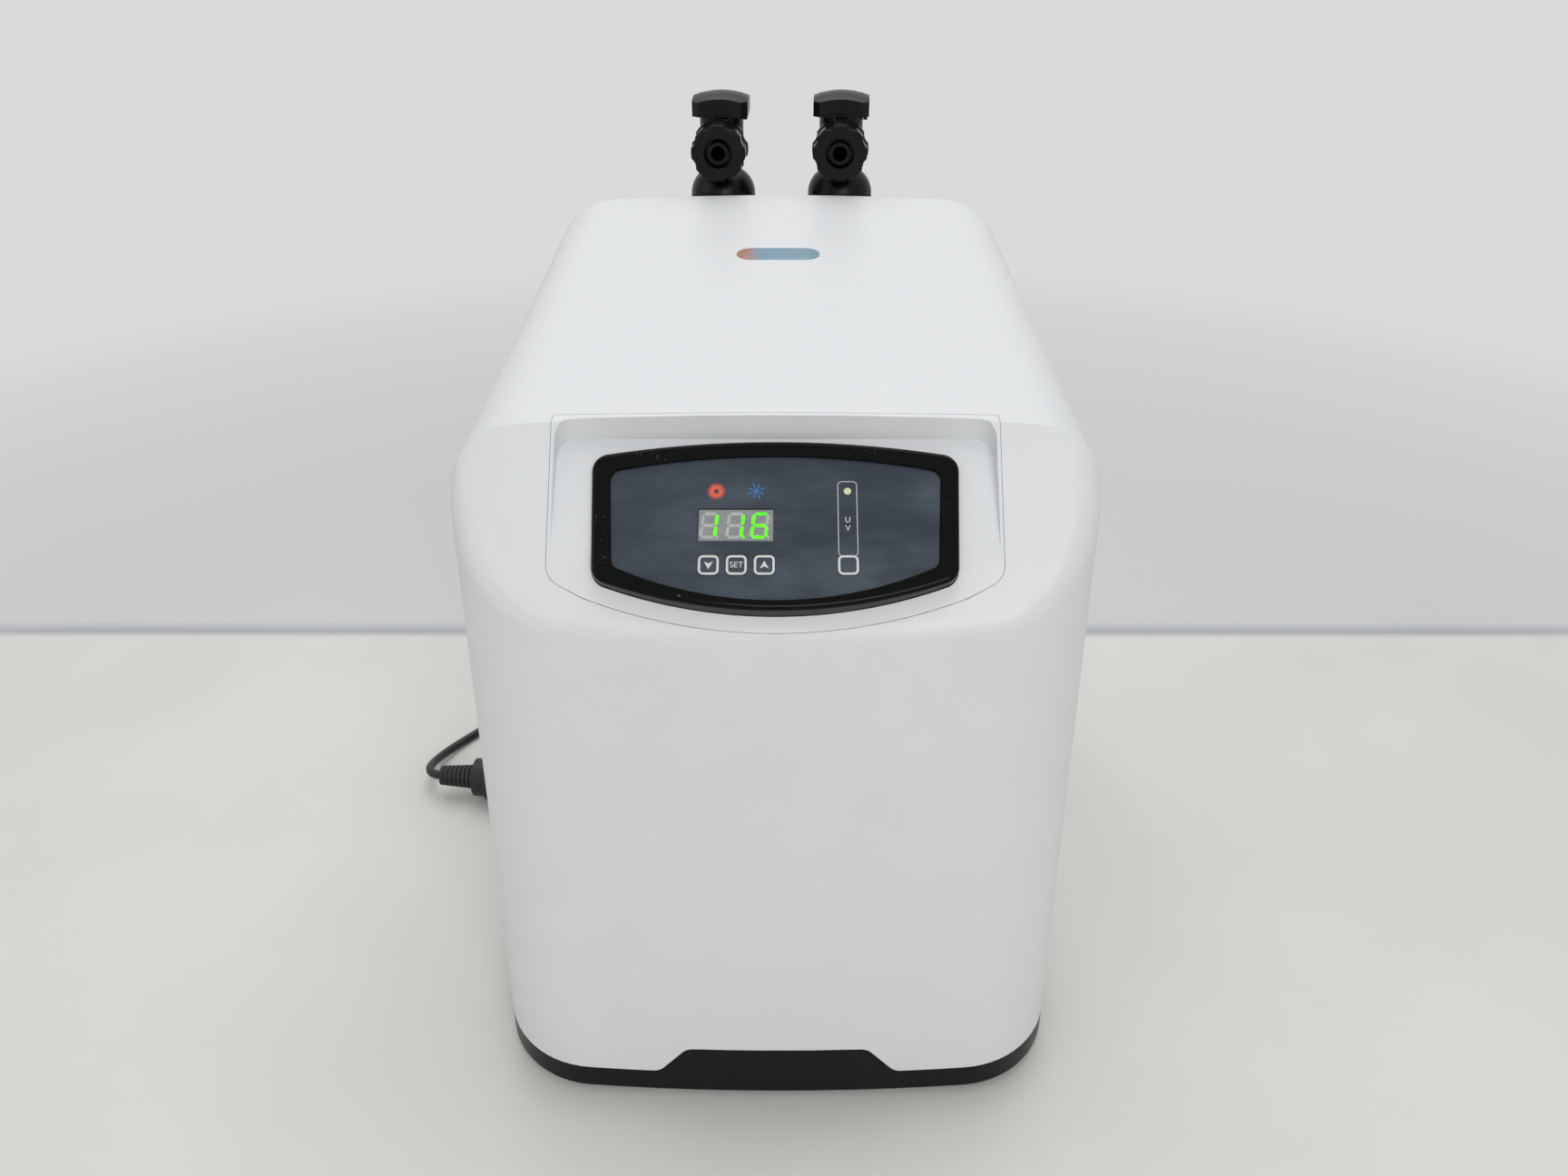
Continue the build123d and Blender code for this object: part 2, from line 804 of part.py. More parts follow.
def makePort(x):
    """The elbow from the panel to the tap, with its flange, its nut inside and its bores."""
    inside = panel_rear_y - panel_thick - port_inner
    run = tap_y - inside
    leg = Pos(x, inside + run / 2, port_z) * Rot(90, 0, 0) * Cylinder(port_radius - 3, run)
    thread = Pos(x, panel_rear_y + port_flange_thick / 2, port_z) * Rot(90, 0, 0)
    flange = thread * Cylinder(port_flange, port_flange_thick)
    knee = Pos(x, tap_y, port_z) * Sphere(port_radius)
    upright = Pos(x, tap_y, (port_z + port_top) / 2) * Cylinder(port_radius, port_top - port_z)
    nut_y = panel_rear_y - panel_thick - port_nut / 2
    nut = Pos(x, nut_y, port_z) * Rot(90, 0, 0) * extrude(RegularPolygon(port_flange, 6), port_nut / 2, both=True)
    port = leg + flange + knee + upright + nut
    bore = Pos(x, tap_y, (port_z + port_top) / 2) * Cylinder(port_bore, port_top - port_z)
    cross = Pos(x, inside + run / 2, port_z) * Rot(90, 0, 0) * Cylinder(port_bore, run)
    return port - bore - cross - Pos(x, tap_y, port_z) * Sphere(port_bore)


def makeSeal(x):
    ring = Cylinder(tail_flange, seal_thick) - Cylinder(port_bore, seal_thick)
    return Pos(x, tap_y, port_top + seal_thick / 2) * ring


def makeUnion(x):
    """The bell-shaped union nut that draws the tap onto the port: a fluted skirt under a dome."""
    bore = port_radius + turn_gap
    neck = tail_radius + turn_gap
    shoulder = port_top + seal_thick + tail_flange_thick + turn_gap

    def domeRadius(z):
        return union_radius * math.sqrt(1 - ((z - union_round_z) / union_round_height) ** 2)

    middle_z = (union_round_z + union_top) / 2
    section = Wire(
        [
            Line((bore, union_bottom), (union_radius, union_bottom)),
            Line((union_radius, union_bottom), (union_radius, union_round_z)),
            ThreePointArc(
                (union_radius, union_round_z),
                (domeRadius(middle_z), middle_z),
                (domeRadius(union_top), union_top),
            ),
            Line((domeRadius(union_top), union_top), (neck, union_top)),
            Line((neck, union_top), (neck, shoulder)),
            Line((neck, shoulder), (bore, shoulder)),
            Line((bore, shoulder), (bore, union_bottom)),
        ]
    )
    nut = revolve(Plane.XZ * make_face(section), Axis.Z)
    for count in range(union_flutes):
        flute = Pos(union_radius + flute_radius - flute_depth, 0, union_bottom) * Cylinder(
            flute_radius, 2 * (union_round_z - union_bottom)
        )
        nut -= Rot(0, 0, 360 * count / union_flutes) * flute
    return Pos(x, tap_y, 0) * nut


def lobed(radius, depth, lobes, length):
    """A round bar with shallow hollows along it, as on a hand nut."""
    bar = Cylinder(radius, length)
    hollow = 2 * math.pi * radius / lobes / 2
    for count in range(lobes):
        cutter = Pos(radius + hollow - depth, 0, 0) * Cylinder(hollow, length)
        bar -= Rot(0, 0, 360 * (count + 0.5) / lobes) * cutter
    return bar


def outletPlace(distance):
    """A place on the outlet's axis, distance in front of the tap's axis, with z to the front."""
    return Pos(0, -distance, outlet_z) * Rot(90, 0, 0)


def makeTapBody(x, turn):
    """The tap's body: a tail below, a chamber for the plug, and an outlet with a collar and a hose tail."""
    tail_low = port_top + seal_thick
    tail = Pos(0, 0, (tail_low + chamber_bottom) / 2) * Cylinder(tail_radius, chamber_bottom - tail_low)
    flange = Pos(0, 0, tail_low + tail_flange_thick / 2) * Cylinder(tail_flange, tail_flange_thick)
    chamber_height = chamber_top - chamber_bottom
    chamber = Pos(0, 0, chamber_bottom + chamber_height / 2) * Cylinder(chamber_radius, chamber_height)
    chamber = fillet(chamber.edges().sort_by(Axis.Z)[0], chamber_radius - tail_radius - 1)
    thread_end = collar_front + collar_thick + thread_length
    hose_end = thread_end + hose_length
    barrel = outletPlace(collar_front / 2) * Cylinder(barrel_radius, collar_front)
    collar = outletPlace(collar_front + collar_thick / 2) * lobed(
        collar_radius, nut_lobe_depth, nut_lobes, collar_thick
    )
    thread = outletPlace(collar_front + collar_thick + thread_length / 2) * Cylinder(thread_radius, thread_length)
    hose = outletPlace(thread_end + hose_length / 2 - 0.5) * Cylinder(hose_radius, hose_length + 1)
    body = tail + flange + chamber + barrel + collar + thread + hose
    body -= Pos(0, 0, (tail_low + chamber_bottom) / 2 + 3) * Cylinder(tail_bore, chamber_bottom - tail_low + 8)
    plug_room = chamber_top - plug_bottom + turn_gap
    body -= Pos(0, 0, chamber_top - plug_room / 2) * Cylinder(plug_radius + turn_gap, plug_room)
    body -= Pos(0, 0, chamber_top - bonnet_thick / 2) * Cylinder(bonnet_radius, bonnet_thick)
    body -= outletPlace(hose_end / 2) * Cylinder(hose_bore, hose_end + 2)
    return atTap(x, turn) * body


def makePlug(x, turn):
    """The tap's plug: a bore from below that leaves to the front when the tap is open, and its stem."""
    height = plug_top - plug_bottom
    plug = Pos(0, 0, plug_bottom + height / 2) * Cylinder(plug_radius, height)
    stem_top = knob_bottom + knob_boss
    plug += Pos(0, 0, (plug_top + stem_top) / 2) * Cylinder(stem_radius, stem_top - plug_top)
    plug -= Pos(0, 0, (plug_bottom + outlet_z) / 2) * Cylinder(hose_bore, outlet_z - plug_bottom)
    plug -= outletPlace(plug_radius / 2 + 1) * Cylinder(hose_bore, plug_radius + 2)
    return atTap(x, turn) * (plug - Pos(0, 0, outlet_z) * Sphere(hose_bore))


def makeBonnet(x, turn):
    """The ring that closes the chamber round the stem."""
    ring = Cylinder(bonnet_radius, bonnet_thick) - Cylinder(stem_radius + turn_gap, bonnet_thick)
    return atTap(x, turn) * Pos(0, 0, chamber_top - bonnet_thick / 2) * ring


def makeKnob(x, turn):
    """The quarter-turn knob: a chamfered square cap with a low dome, a skirt and a stop lug."""
    height = knob_crest - knob_bottom
    knob = Pos(0, 0, knob_bottom) * extrude(Rectangle(knob_side, knob_side), height)
    corners = knob.edges().filter_by(Axis.Z)
    knob = chamfer(corners, knob_chamfer)
    rise = knob_crest - knob_shoulder
    dome_radius = (rise**2 + (knob_side / 2) ** 2) / (2 * rise)
    knob &= Pos(0, 0, knob_crest - dome_radius) * Sphere(dome_radius)
    pocket = Cylinder(knob_pocket, knob_boss) - Cylinder(stem_radius + 3, knob_boss)
    knob -= Pos(0, 0, knob_bottom + knob_boss / 2) * pocket
    knob -= Pos(0, 0, knob_bottom + knob_boss / 2) * Cylinder(stem_radius, knob_boss)
    lug_x = chamber_radius + turn_gap + lug_width / 2
    knob += Pos(lug_x, -lug_width / 2, knob_bottom - lug_height / 2 + 0.5) * Box(
        lug_width, 2 * lug_width, lug_height + 1
    )
    notch = Pos(knob_side / 2 - 5, 0, knob_crest - 1) * Box(4, 2, 3)
    knob -= notch
    knob -= Rot(0, 0, 180) * notch
    return atTap(x, turn) * knob


def makeHoseNut(x, turn):
    """The lobed nut that clamps the hose: it turns on the outlet's thread and leaves the tail's mouth open."""
    back = collar_front + collar_thick + turn_gap
    nut = outletPlace(back + nut_length / 2) * lobed(nut_radius, nut_lobe_depth, nut_lobes, nut_length)
    front_edges = nut.faces().sort_by(Axis.Y)[0].edges()
    nut = chamfer(front_edges, 1.2)
    room = nut_length - nut_wall
    nut -= outletPlace(back + room / 2) * Cylinder(thread_radius + turn_gap, room)
    return atTap(x, turn) * (nut - outletPlace(back + nut_length / 2) * Cylinder(nut_hole, nut_length + 1))


def makeCompressor():
    """The sealed compressor: a domed can on a foot plate, with two pipe stubs on its crown."""
    base = footPlateTop()
    can = Pos(0, 0, base + compressor_height / 2) * Cylinder(compressor_radius, compressor_height)
    can = fillet(can.edges().filter_by(GeomType.CIRCLE), compressor_radius * 0.55)
    plate_side = grommet_pitch + 2 * grommet_radius
    plate = Pos(0, 0, base - foot_plate / 2) * extrude(
        RectangleRounded(plate_side, plate_side, grommet_radius), foot_plate / 2, both=True
    )
    neck = Pos(0, 0, base + 6) * Cylinder(compressor_radius * 0.6, 14)
    can = can + plate + neck
    for side in (-1, 1):
        stub = Pos(side * stub_spread, 0, stub_top - stub_height / 2) * Cylinder(pipe_radius + 1, stub_height)
        can += stub
    can = Pos(compressor_x, compressor_y, 0) * can
    for x, y in grommetPlaces():
        can -= Pos(x, y, base - foot_plate / 2) * Cylinder(grommet_neck, 2 * foot_plate)
    return can


def footPlateTop():
    return tray_bottom + tray_floor + grommet_seat + grommet_height + foot_plate


def makeGrommets():
    """Four rubber mounts: each lies on a seat of the tray and has a neck in the foot plate."""
    mounts = []
    low = tray_bottom + tray_floor + grommet_seat
    for x, y in grommetPlaces():
        pad = Pos(x, y, low + grommet_height / 2) * Cylinder(grommet_radius, grommet_height)
        neck = Pos(x, y, low + grommet_height + foot_plate / 2) * Cylinder(grommet_neck, foot_plate)
        mounts.append(pad + neck)
    return Compound(children=mounts)


def condenserMiddle():
    return condenser_y, tray_bottom + tray_floor + condenser_lift + condenser_height / 2


def makeCondenser():
    """The condenser: flat tubes through upright fins, with an end plate and two pipe stubs at the left."""
    y, z = condenserMiddle()
    core = None
    step = (condenser_width - fin_thick) / (condenser_fins - 1)
    for count in range(condenser_fins):
        x = -condenser_width / 2 + fin_thick / 2 + count * step
        fin = Pos(x, 0, 0) * Box(fin_thick, condenser_depth, condenser_height)
        core = fin if core is None else core + fin
    tube_step = condenser_height / condenser_tubes
    for count in range(condenser_tubes):
        level = (count + 0.5) * tube_step - condenser_height / 2
        core += Pos(0, 0, level) * Box(condenser_width, condenser_depth * 0.6, tube_thick)
    for side in (-1, 1):
        core += Pos(side * (condenser_width + header_width) / 2, 0, 0) * Box(
            header_width, condenser_depth, condenser_height
        )
    for level in (-stub_level, stub_level):
        stub = Pos(-(condenser_width + header_width) / 2, -(condenser_depth + header_stub) / 2, level)
        core += stub * Rot(90, 0, 0) * Cylinder(pipe_radius + 1, header_stub)
    return Pos(0, y, z) * core


def makeCondenserFrame():
    """The sheet frame round the condenser: it stands on the tray."""
    y, z = condenserMiddle()
    inner_x = condenser_width + 2 * header_width
    low = tray_bottom + tray_floor
    high = z + condenser_height / 2
    outer = Box(inner_x + 2 * sheet, condenser_depth, high + sheet - low)
    frame = Pos(0, y, (low + high + sheet) / 2) * outer
    return frame - Pos(0, y, (low + condenser_lift + high) / 2) * Box(
        inner_x, condenser_depth + 1, high - low - condenser_lift
    )


def tubeAlong(points, bends, radius, bore=0.0):
    """A pipe along straight runs joined by bends."""
    path = FilletPolyline(*points, radius=bends)
    start = Plane(origin=path @ 0, z_dir=path % 0)
    pipe = sweep(start * Circle(radius), path)
    if bore:
        pipe -= sweep(start * Circle(bore), path)
    return pipe


def vesselTop():
    return vessel_bottom + vessel_height


def makeVessel():
    """The heat exchanger's insulated vessel, with two water stubs and two refrigerant stubs on its lid."""
    vessel = Pos(0, 0, vessel_bottom + vessel_height / 2) * Cylinder(vessel_radius, vessel_height)
    vessel = fillet(vessel.edges().filter_by(GeomType.CIRCLE), vessel_wall)
    for side in (-1, 1):
        vessel += Pos(side * water_stub_spread, 0, vesselTop() + vessel_stub / 2 - 1) * Cylinder(
            hose_outer, vessel_stub + 2
        )
        vessel += Pos(0, side * pipe_stub_spread, vesselTop() + vessel_stub / 2 - 1) * Cylinder(
            pipe_radius + 1, vessel_stub + 2
        )
    return Pos(vessel_x, vessel_y, 0) * vessel


def makeCradle():
    """The round stand under the vessel."""
    low = tray_bottom + tray_floor
    height = vessel_bottom - low
    stand = Cylinder(vessel_radius - vessel_wall, height) - Cylinder(vessel_radius - 2 * vessel_wall, height)
    return Pos(vessel_x, vessel_y, low + height / 2) * stand


def makeLamp():
    """The lamp's sealed water tube, standing on the tray, with both water stubs on its cap."""
    low = tray_bottom + tray_floor
    tube = Pos(0, 0, low + lamp_length / 2) * Cylinder(lamp_radius, lamp_length)
    cap = Pos(0, 0, low + lamp_length - lamp_cap / 2) * Cylinder(lamp_radius + 2, lamp_cap)
    lamp = tube + cap
    for side in (-1, 1):
        stub = Pos(0, side * lamp_stub_spread, low + lamp_length + lamp_stub / 2) * Cylinder(hose_outer, lamp_stub)
        lamp += stub
    return Pos(lamp_x, lamp_y, 0) * lamp


def makeHoses():
    """The three water hoses: from the left port to the lamp, on to the vessel, and back to the right port."""
    left, right = tapPlaces()
    inside = panel_rear_y - panel_thick - port_inner
    lamp_top = tray_bottom + tray_floor + lamp_length + lamp_stub
    vessel_top = vesselTop() + vessel_stub
    near = vessel_x - water_stub_spread
    far = vessel_x + water_stub_spread
    first = lamp_y - lamp_stub_spread
    second = lamp_y + lamp_stub_spread
    inlet = [
        (left, inside, port_z),
        (left, inside - 50, port_z),
        (lamp_x, vessel_y + 30, port_z - 15),
        (lamp_x, first, port_z - 25),
        (lamp_x, first, lamp_top),
    ]
    link = [
        (lamp_x, second, lamp_top),
        (lamp_x, second, lamp_top + 30),
        (near, vessel_y, vessel_top + 36),
        (near, vessel_y, vessel_top),
    ]
    outlet = [
        (right, inside, port_z),
        (right, inside - 34, port_z),
        (right + 12, inside - 80, port_z - 40),
        (far, vessel_y, vessel_top + 42),
        (far, vessel_y, vessel_top),
    ]
    return {
        "inlet_hose": tubeAlong(inlet, 20, hose_outer, hose_inner),
        "link_hose": tubeAlong(link, 13, hose_outer, hose_inner),
        "outlet_hose": tubeAlong(outlet, 20, hose_outer, hose_inner),
    }


def makePipes():
    """The refrigerant pipes: discharge, liquid line before and after the drier, and suction."""
    y, z = condenserMiddle()
    header_x = -(condenser_width + header_width) / 2
    header_y = y - condenser_depth / 2 - header_stub
    hot = compressor_x + stub_spread
    cold = compressor_x - stub_spread
    vessel_top = vesselTop() + vessel_stub
    discharge = [
        (hot, compressor_y, stub_top),
        (hot, compressor_y, stub_top + 60),
        (header_x, compressor_y + 60, z + stub_level),
        (header_x, header_y, z + stub_level),
    ]
    liquid = [
        (header_x, header_y, z - stub_level),
        (header_x, header_y - 22, z - stub_level),
        (drier_x, drier_y, z - stub_level - 6),
        (drier_x, drier_y, drier_z),
    ]
    capillary = [
        (drier_x, drier_y, drier_z + drier_length),
        (drier_x, drier_y, vessel_top + 12),
        (vessel_x, vessel_y - pipe_stub_spread, vessel_top + 14),
        (vessel_x, vessel_y - pipe_stub_spread, vessel_top),
    ]
    suction = [
        (vessel_x, vessel_y + pipe_stub_spread, vessel_top),
        (vessel_x, vessel_y + pipe_stub_spread, vessel_top + 24),
        (cold, compressor_y + 35, vessel_top + 24),
        (cold, compressor_y, vessel_top),
        (cold, compressor_y, stub_top),
    ]
    return {
        "discharge_pipe": tubeAlong(discharge, 14, pipe_radius),
        "liquid_pipe": tubeAlong(liquid, 10, pipe_radius),
        "capillary_pipe": tubeAlong(capillary, 6, pipe_radius / 2),
        "suction_pipe": tubeAlong(suction, 12, pipe_radius),
    }


def makeDrier():
    """The filter drier: a small upright can with drawn-in ends, clipped to the condenser's frame."""
    can = Pos(0, 0, drier_length / 2) * Cylinder(drier_radius, drier_length)
    can = fillet(can.edges().filter_by(GeomType.CIRCLE), drier_radius - pipe_radius - 1.5)
    return Pos(drier_x, drier_y, drier_z) * can


def makeBracket():
    """The upright sheet bracket at the front, with a foot on the tray and lightening holes."""
    low = tray_bottom + tray_floor
    high = box_z + box_height / 2 + 10
    upright = Pos(0, bracket_y + sheet / 2, (low + high) / 2) * Box(bracket_width, sheet, high - low)
    foot = Pos(0, bracket_y + sheet - bracket_foot / 2, low + sheet / 2) * Box(bracket_width, bracket_foot, sheet)
    bracket = upright + foot
    hole = Pos(0, bracket_y, (low + box_z - box_height / 2) / 2) * Rot(90, 0, 0)
    return bracket - hole * Cylinder(bracket_width / 5, 6 * sheet)


def makeBox():
    """The power box: a closed plastic box with a lid seam, on the front bracket."""
    box = Pos(0, bracket_y - box_depth / 2, box_z) * Box(box_width, box_depth, box_height)
    box = fillet(box.edges().filter_by(Axis.Y), 6)
    seam = Pos(0, bracket_y - box_depth * 0.6, box_z) * (
        Box(box_width + 2, 1, box_height + 2) - Box(box_width - 1, 1, box_height - 1)
    )
    return box - seam


def makeScrews():
    """The four screws of the fan guard: pan heads on the flange and shanks through panel and shroud."""
    screws = []
    shank = guard_thick + panel_thick + shroud_wall
    for x, z in guardScrews():
        head = atPanel(x, z) * Pos(0, 0, guard_thick + 1) * Cylinder(screw_head, 2)
        rod = atPanel(x, z) * Pos(0, 0, guard_thick - shank / 2) * Cylinder(screw_shank, shank)
        screws.append(head + rod)
    return Compound(children=screws)


def makeGland():
    """The cord's strain relief: a shank in the panel, a flange and a tapered boot."""
    length = panel_thick
    shank = Pos(0, 0, -length / 2) * Cylinder(gland_radius - 0.1, length)
    flange = Pos(0, 0, gland_flange / 2) * Cylinder(gland_radius + 3, gland_flange)
    boot = Pos(0, 0, gland_length / 2) * Cone(gland_radius - 1, gland_tip, gland_length)
    return atPanel(gland_x, gland_z) * (shank + flange + boot)


def mainsFrame():
    """The mains plug's own frame: it lies on the table with z along its axis, from its boot to its pins."""
    turn = radians(mains_turn)
    return Plane(
        origin=(mains_x, mains_y, mains_radius),
        x_dir=(0, 0, 1),
        z_dir=(math.cos(turn), -math.sin(turn), 0),
    )


def makeCordPlug():
    """The mains plug: a ribbed boot, a round body with two flats and two pins."""
    boot = Pos(0, 0, boot_length / 2) * Cone(boot_tip, boot_root, boot_length)
    for count in range(1, boot_grooves + 1):
        place = Pos(0, 0, count * boot_length / (boot_grooves + 1))
        groove = Cylinder(2 * boot_root, boot_groove) - Cylinder(boot_tip - 0.4, boot_groove)
        boot -= place * groove
    collar = Pos(0, 0, boot_length + mains_collar_length / 2) * Cylinder(mains_collar, mains_collar_length)
    body_start = boot_length + mains_collar_length
    body = Pos(0, 0, body_start + mains_length / 2) * Cylinder(mains_radius, mains_length)
    body = fillet(body.edges().filter_by(GeomType.CIRCLE), 1.5)
    for side in (-1, 1):
        body -= Pos(0, side * mains_radius, body_start + mains_length * 0.7) * Box(
            2 * mains_radius, 2 * mains_flat, mains_length * 0.4
        )
    plug = boot + collar + body
    pin = fillet(Cylinder(pin_radius, pin_length).edges().sort_by(Axis.Z)[-1], pin_radius * 0.6)
    for side in (-1, 1):
        plug += Pos(0, side * pin_pitch / 2, body_start + mains_length + pin_length / 2) * pin
    return mainsFrame() * plug


def cordTube(points):
    """A stretch of cord: straight runs joined by arcs as large as the runs allow."""
    knots = [Vector(*point) for point in points]
    bends = []
    for before, here, after in zip(knots, knots[1:], knots[2:]):
        turn = (here - before).get_angle(after - here)
        shorter = min((here - before).length, (after - here).length)
        bends.append(0.45 * shorter / math.tan(radians(turn) / 2))
    print("cord radii", [round(bend) for bend in bends])
    path = FilletPolyline(*knots, radius=bends)
    tube = sweep(Plane(origin=path @ 0, z_dir=path % 0) * Circle(cord_radius), path)
    section = math.pi * cord_radius**2
    print("cord length", round(path.length), "by volume", round(tube.volume / section))
    return tube


def makeCoil():
    """The coil's outer shape: the put-away turns behind the chiller."""
    ring = Cylinder(coil_outer, coil_height) - Cylinder(coil_inner, coil_height)
    return Pos(coil_x, coil_y, coil_height / 2) * ring


outer_form = hoodForm(0, hood_bottom)
inner_form = hoodForm(hood_wall, hood_bottom - hood_wall)
os.makedirs("parts", exist_ok=True)

writeNode("base_tray", makeTray())
writeNode("rubber_feet", makeFeet())
writeNode("hood", makeHood())
writeNode("badge", makeBadge())
writeNode("display_insert", makeInsert())
writeNode("display_bezel", makeBezel())
writeNode("display_window", makeWindow())
writeNode("led_module", makeLed())
writeNode("display_board", makeBoard())
for name, x in key_x.items():
    writeNode(name, makeKey(x))
writeNode("rear_panel", makePanel())
writeNode("fan_guard", makeGuard())
writeNode("fan_shroud", makeShroud())
writeNode("fan_motor", makeMotor())
writeNode("fan_rotor", makeFan())
writeNode("guard_screws", makeScrews())
writeNode("side_grille", makeGrille())
writeNode("grille_filter", makeFilter())
for side, x, turn in zip(("left", "right"), tapPlaces(), (left_turn, right_turn)):
    writeNode(side + "_port", makePort(x))
    writeNode(side + "_seal", makeSeal(x))
    writeNode(side + "_union_nut", makeUnion(x))
    writeNode(side + "_tap_body", makeTapBody(x, turn))
    writeNode(side + "_tap_plug", makePlug(x, turn))
    writeNode(side + "_tap_bonnet", makeBonnet(x, turn))
    writeNode(side + "_tap_knob", makeKnob(x, turn))
    writeNode(side + "_hose_nut", makeHoseNut(x, turn))
writeNode("compressor", makeCompressor())
writeNode("compressor_mounts", makeGrommets())
writeNode("condenser", makeCondenser())
writeNode("condenser_frame", makeCondenserFrame())
writeNode("evaporator_vessel", makeVessel())
writeNode("vessel_cradle", makeCradle())
writeNode("lamp_tube", makeLamp())
for name, shape in makeHoses().items():
    writeNode(name, shape)
for name, shape in makePipes().items():
    writeNode(name, shape)
writeNode("filter_drier", makeDrier())
writeNode("front_bracket", makeBracket())
writeNode("power_box", makeBox())
writeNode("strain_relief", makeGland())
writeNode("cord_tail", cordTube(tail_points))
writeNode("cord_coil", makeCoil())
writeNode("cord_lead", cordTube(lead_points))
writeNode("cord_plug", makeCordPlug())
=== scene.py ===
import bpy
import json
import math
import numpy as np
from mathutils import Euler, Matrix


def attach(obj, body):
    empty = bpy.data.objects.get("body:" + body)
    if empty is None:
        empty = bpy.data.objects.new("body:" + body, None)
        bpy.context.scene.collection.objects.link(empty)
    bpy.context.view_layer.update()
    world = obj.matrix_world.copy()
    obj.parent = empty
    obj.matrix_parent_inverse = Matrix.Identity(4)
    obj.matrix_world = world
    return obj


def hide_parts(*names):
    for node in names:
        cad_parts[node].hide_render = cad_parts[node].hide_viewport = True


# A recirculating water chiller: white moulded hood, dark tray, sloped display, two taps and a mains cord.
# The part's own numbers are in millimetres from the hood's front, as in its source; fromPart turns them into
# metres in the frame.

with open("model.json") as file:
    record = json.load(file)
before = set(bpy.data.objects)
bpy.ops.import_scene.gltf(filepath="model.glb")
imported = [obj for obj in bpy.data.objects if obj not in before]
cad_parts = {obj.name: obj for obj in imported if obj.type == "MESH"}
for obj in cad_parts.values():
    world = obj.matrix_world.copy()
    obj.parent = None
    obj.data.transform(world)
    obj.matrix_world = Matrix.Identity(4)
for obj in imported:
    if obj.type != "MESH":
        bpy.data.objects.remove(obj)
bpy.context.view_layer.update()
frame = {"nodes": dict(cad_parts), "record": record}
nodes = frame["nodes"]
print("frame loaded:", len(nodes), "nodes")

metre = 1000.0  # in millimetres; a pattern's scale is a metre over its size

part = {
    "frontToMiddle": 267.85,  # from the hood's front to the frame's origin
    "slopeAngle": 39.0,  # the display's own slope
    "floorY": 36.782,  # the basin's floor, where "down" is 0
    "floorZ": 369.615,
    "windowLift": 2.9,  # the window's top over the basin's floor
    "keyLift": 3.2,
    "ledLift": 2.5,
    "inkLift": 0.04,  # how far printed ink stands over its surface
    "inkDepth": 0.12,  # how thick a printed layer is, most of it under the surface
}


def fromPart(points):
    # millimetres from the hood's front -> metres in the frame
    return (np.asarray(points, float) - np.array([0, part["frontToMiddle"], 0])) / metre


def onDisplay(x, down, lift):
    # a point x across and "down" towards the front, "lift" over the basin's sloped floor
    slope = math.radians(part["slopeAngle"])
    x, down, lift = np.broadcast_arrays(x, down, lift)
    y = part["floorY"] - lift * math.sin(slope) - down * math.cos(slope)
    z = part["floorZ"] + lift * math.cos(slope) - down * math.sin(slope)
    return fromPart(np.stack([x, y, z], axis=-1))


# Meshes


def addPiece(name, data, body):
    # an object at the origin that rides a body
    piece = bpy.data.objects.new(name, data)
    bpy.context.scene.collection.objects.link(piece)
    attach(piece, body)
    return piece


def printedPiece(name, verts, faces, body, material, slot="window_slate"):
    mesh = bpy.data.meshes.new(name)
    mesh.from_pydata(np.asarray(verts).reshape(-1, 3).tolist(), [], faces)
    mesh.validate()
    mesh.polygons.foreach_set("use_smooth", [False] * len(mesh.polygons))
    mesh.materials.append(material)
    return addPiece(name, mesh, body)


def gridFaces(rows, columns, closeRows=False):
    # the four corners of each cell of a grid of points; each row closes on itself, and so may the columns
    row = np.arange(rows if closeRows else rows - 1)
    r, c = np.meshgrid(row, np.arange(columns), indexing="ij")
    nextRow = (r + 1) % rows
    nextColumn = (c + 1) % columns
    corners = [(r, c), (r, nextColumn), (nextRow, nextColumn), (nextRow, c)]
    return np.stack([a * columns + b for a, b in corners], axis=-1).reshape(-1, 4).tolist()


def joined(parts):
    # several (points, faces) pairs as one
    verts, faces, count = [], [], 0
    for points, cells in parts:
        verts.append(points)
        faces += [[index + count for index in cell] for cell in cells]
        count += len(points)
    return np.concatenate(verts), faces


def printRing(outer, inner, lift):
    # a printed ring: the outer and inner outlines (n x 2, x and down) at the top, and again below the surface
    low = lift - part["inkDepth"]
    rows = [(inner, low), (inner, lift), (outer, lift), (outer, low)]
    points = np.stack([onDisplay(line[:, 0], line[:, 1], level) for line, level in rows])
    return points, gridFaces(4, len(outer), closeRows=True)


def printDisc(outline, lift):
    # a printed solid shape: its outline round its own middle, closed by a fan above and below
    levels = (lift, lift - part["inkDepth"])
    middle = outline.mean(axis=0)
    walls = [onDisplay(outline[:, 0], outline[:, 1], level) for level in levels]
    ends = np.stack([onDisplay(middle[0], middle[1], level) for level in levels])
    count = len(outline)
    around = np.arange(count)
    after = (around + 1) % count
    faces = gridFaces(2, count)
    faces += np.stack([np.full(count, 2 * count), after, around], axis=1).tolist()
    faces += np.stack([around + count, after + count, np.full(count, 2 * count + 1)], axis=1).tolist()
    return np.concatenate([*walls, ends]), faces


def circle(x, down, radius, count=40):
    # an outline of that many points, each a radius from the middle
    around = np.linspace(0, 2 * np.pi, count, endpoint=False)
    return np.stack([x + radius * np.cos(around), down + radius * np.sin(around)], axis=1)


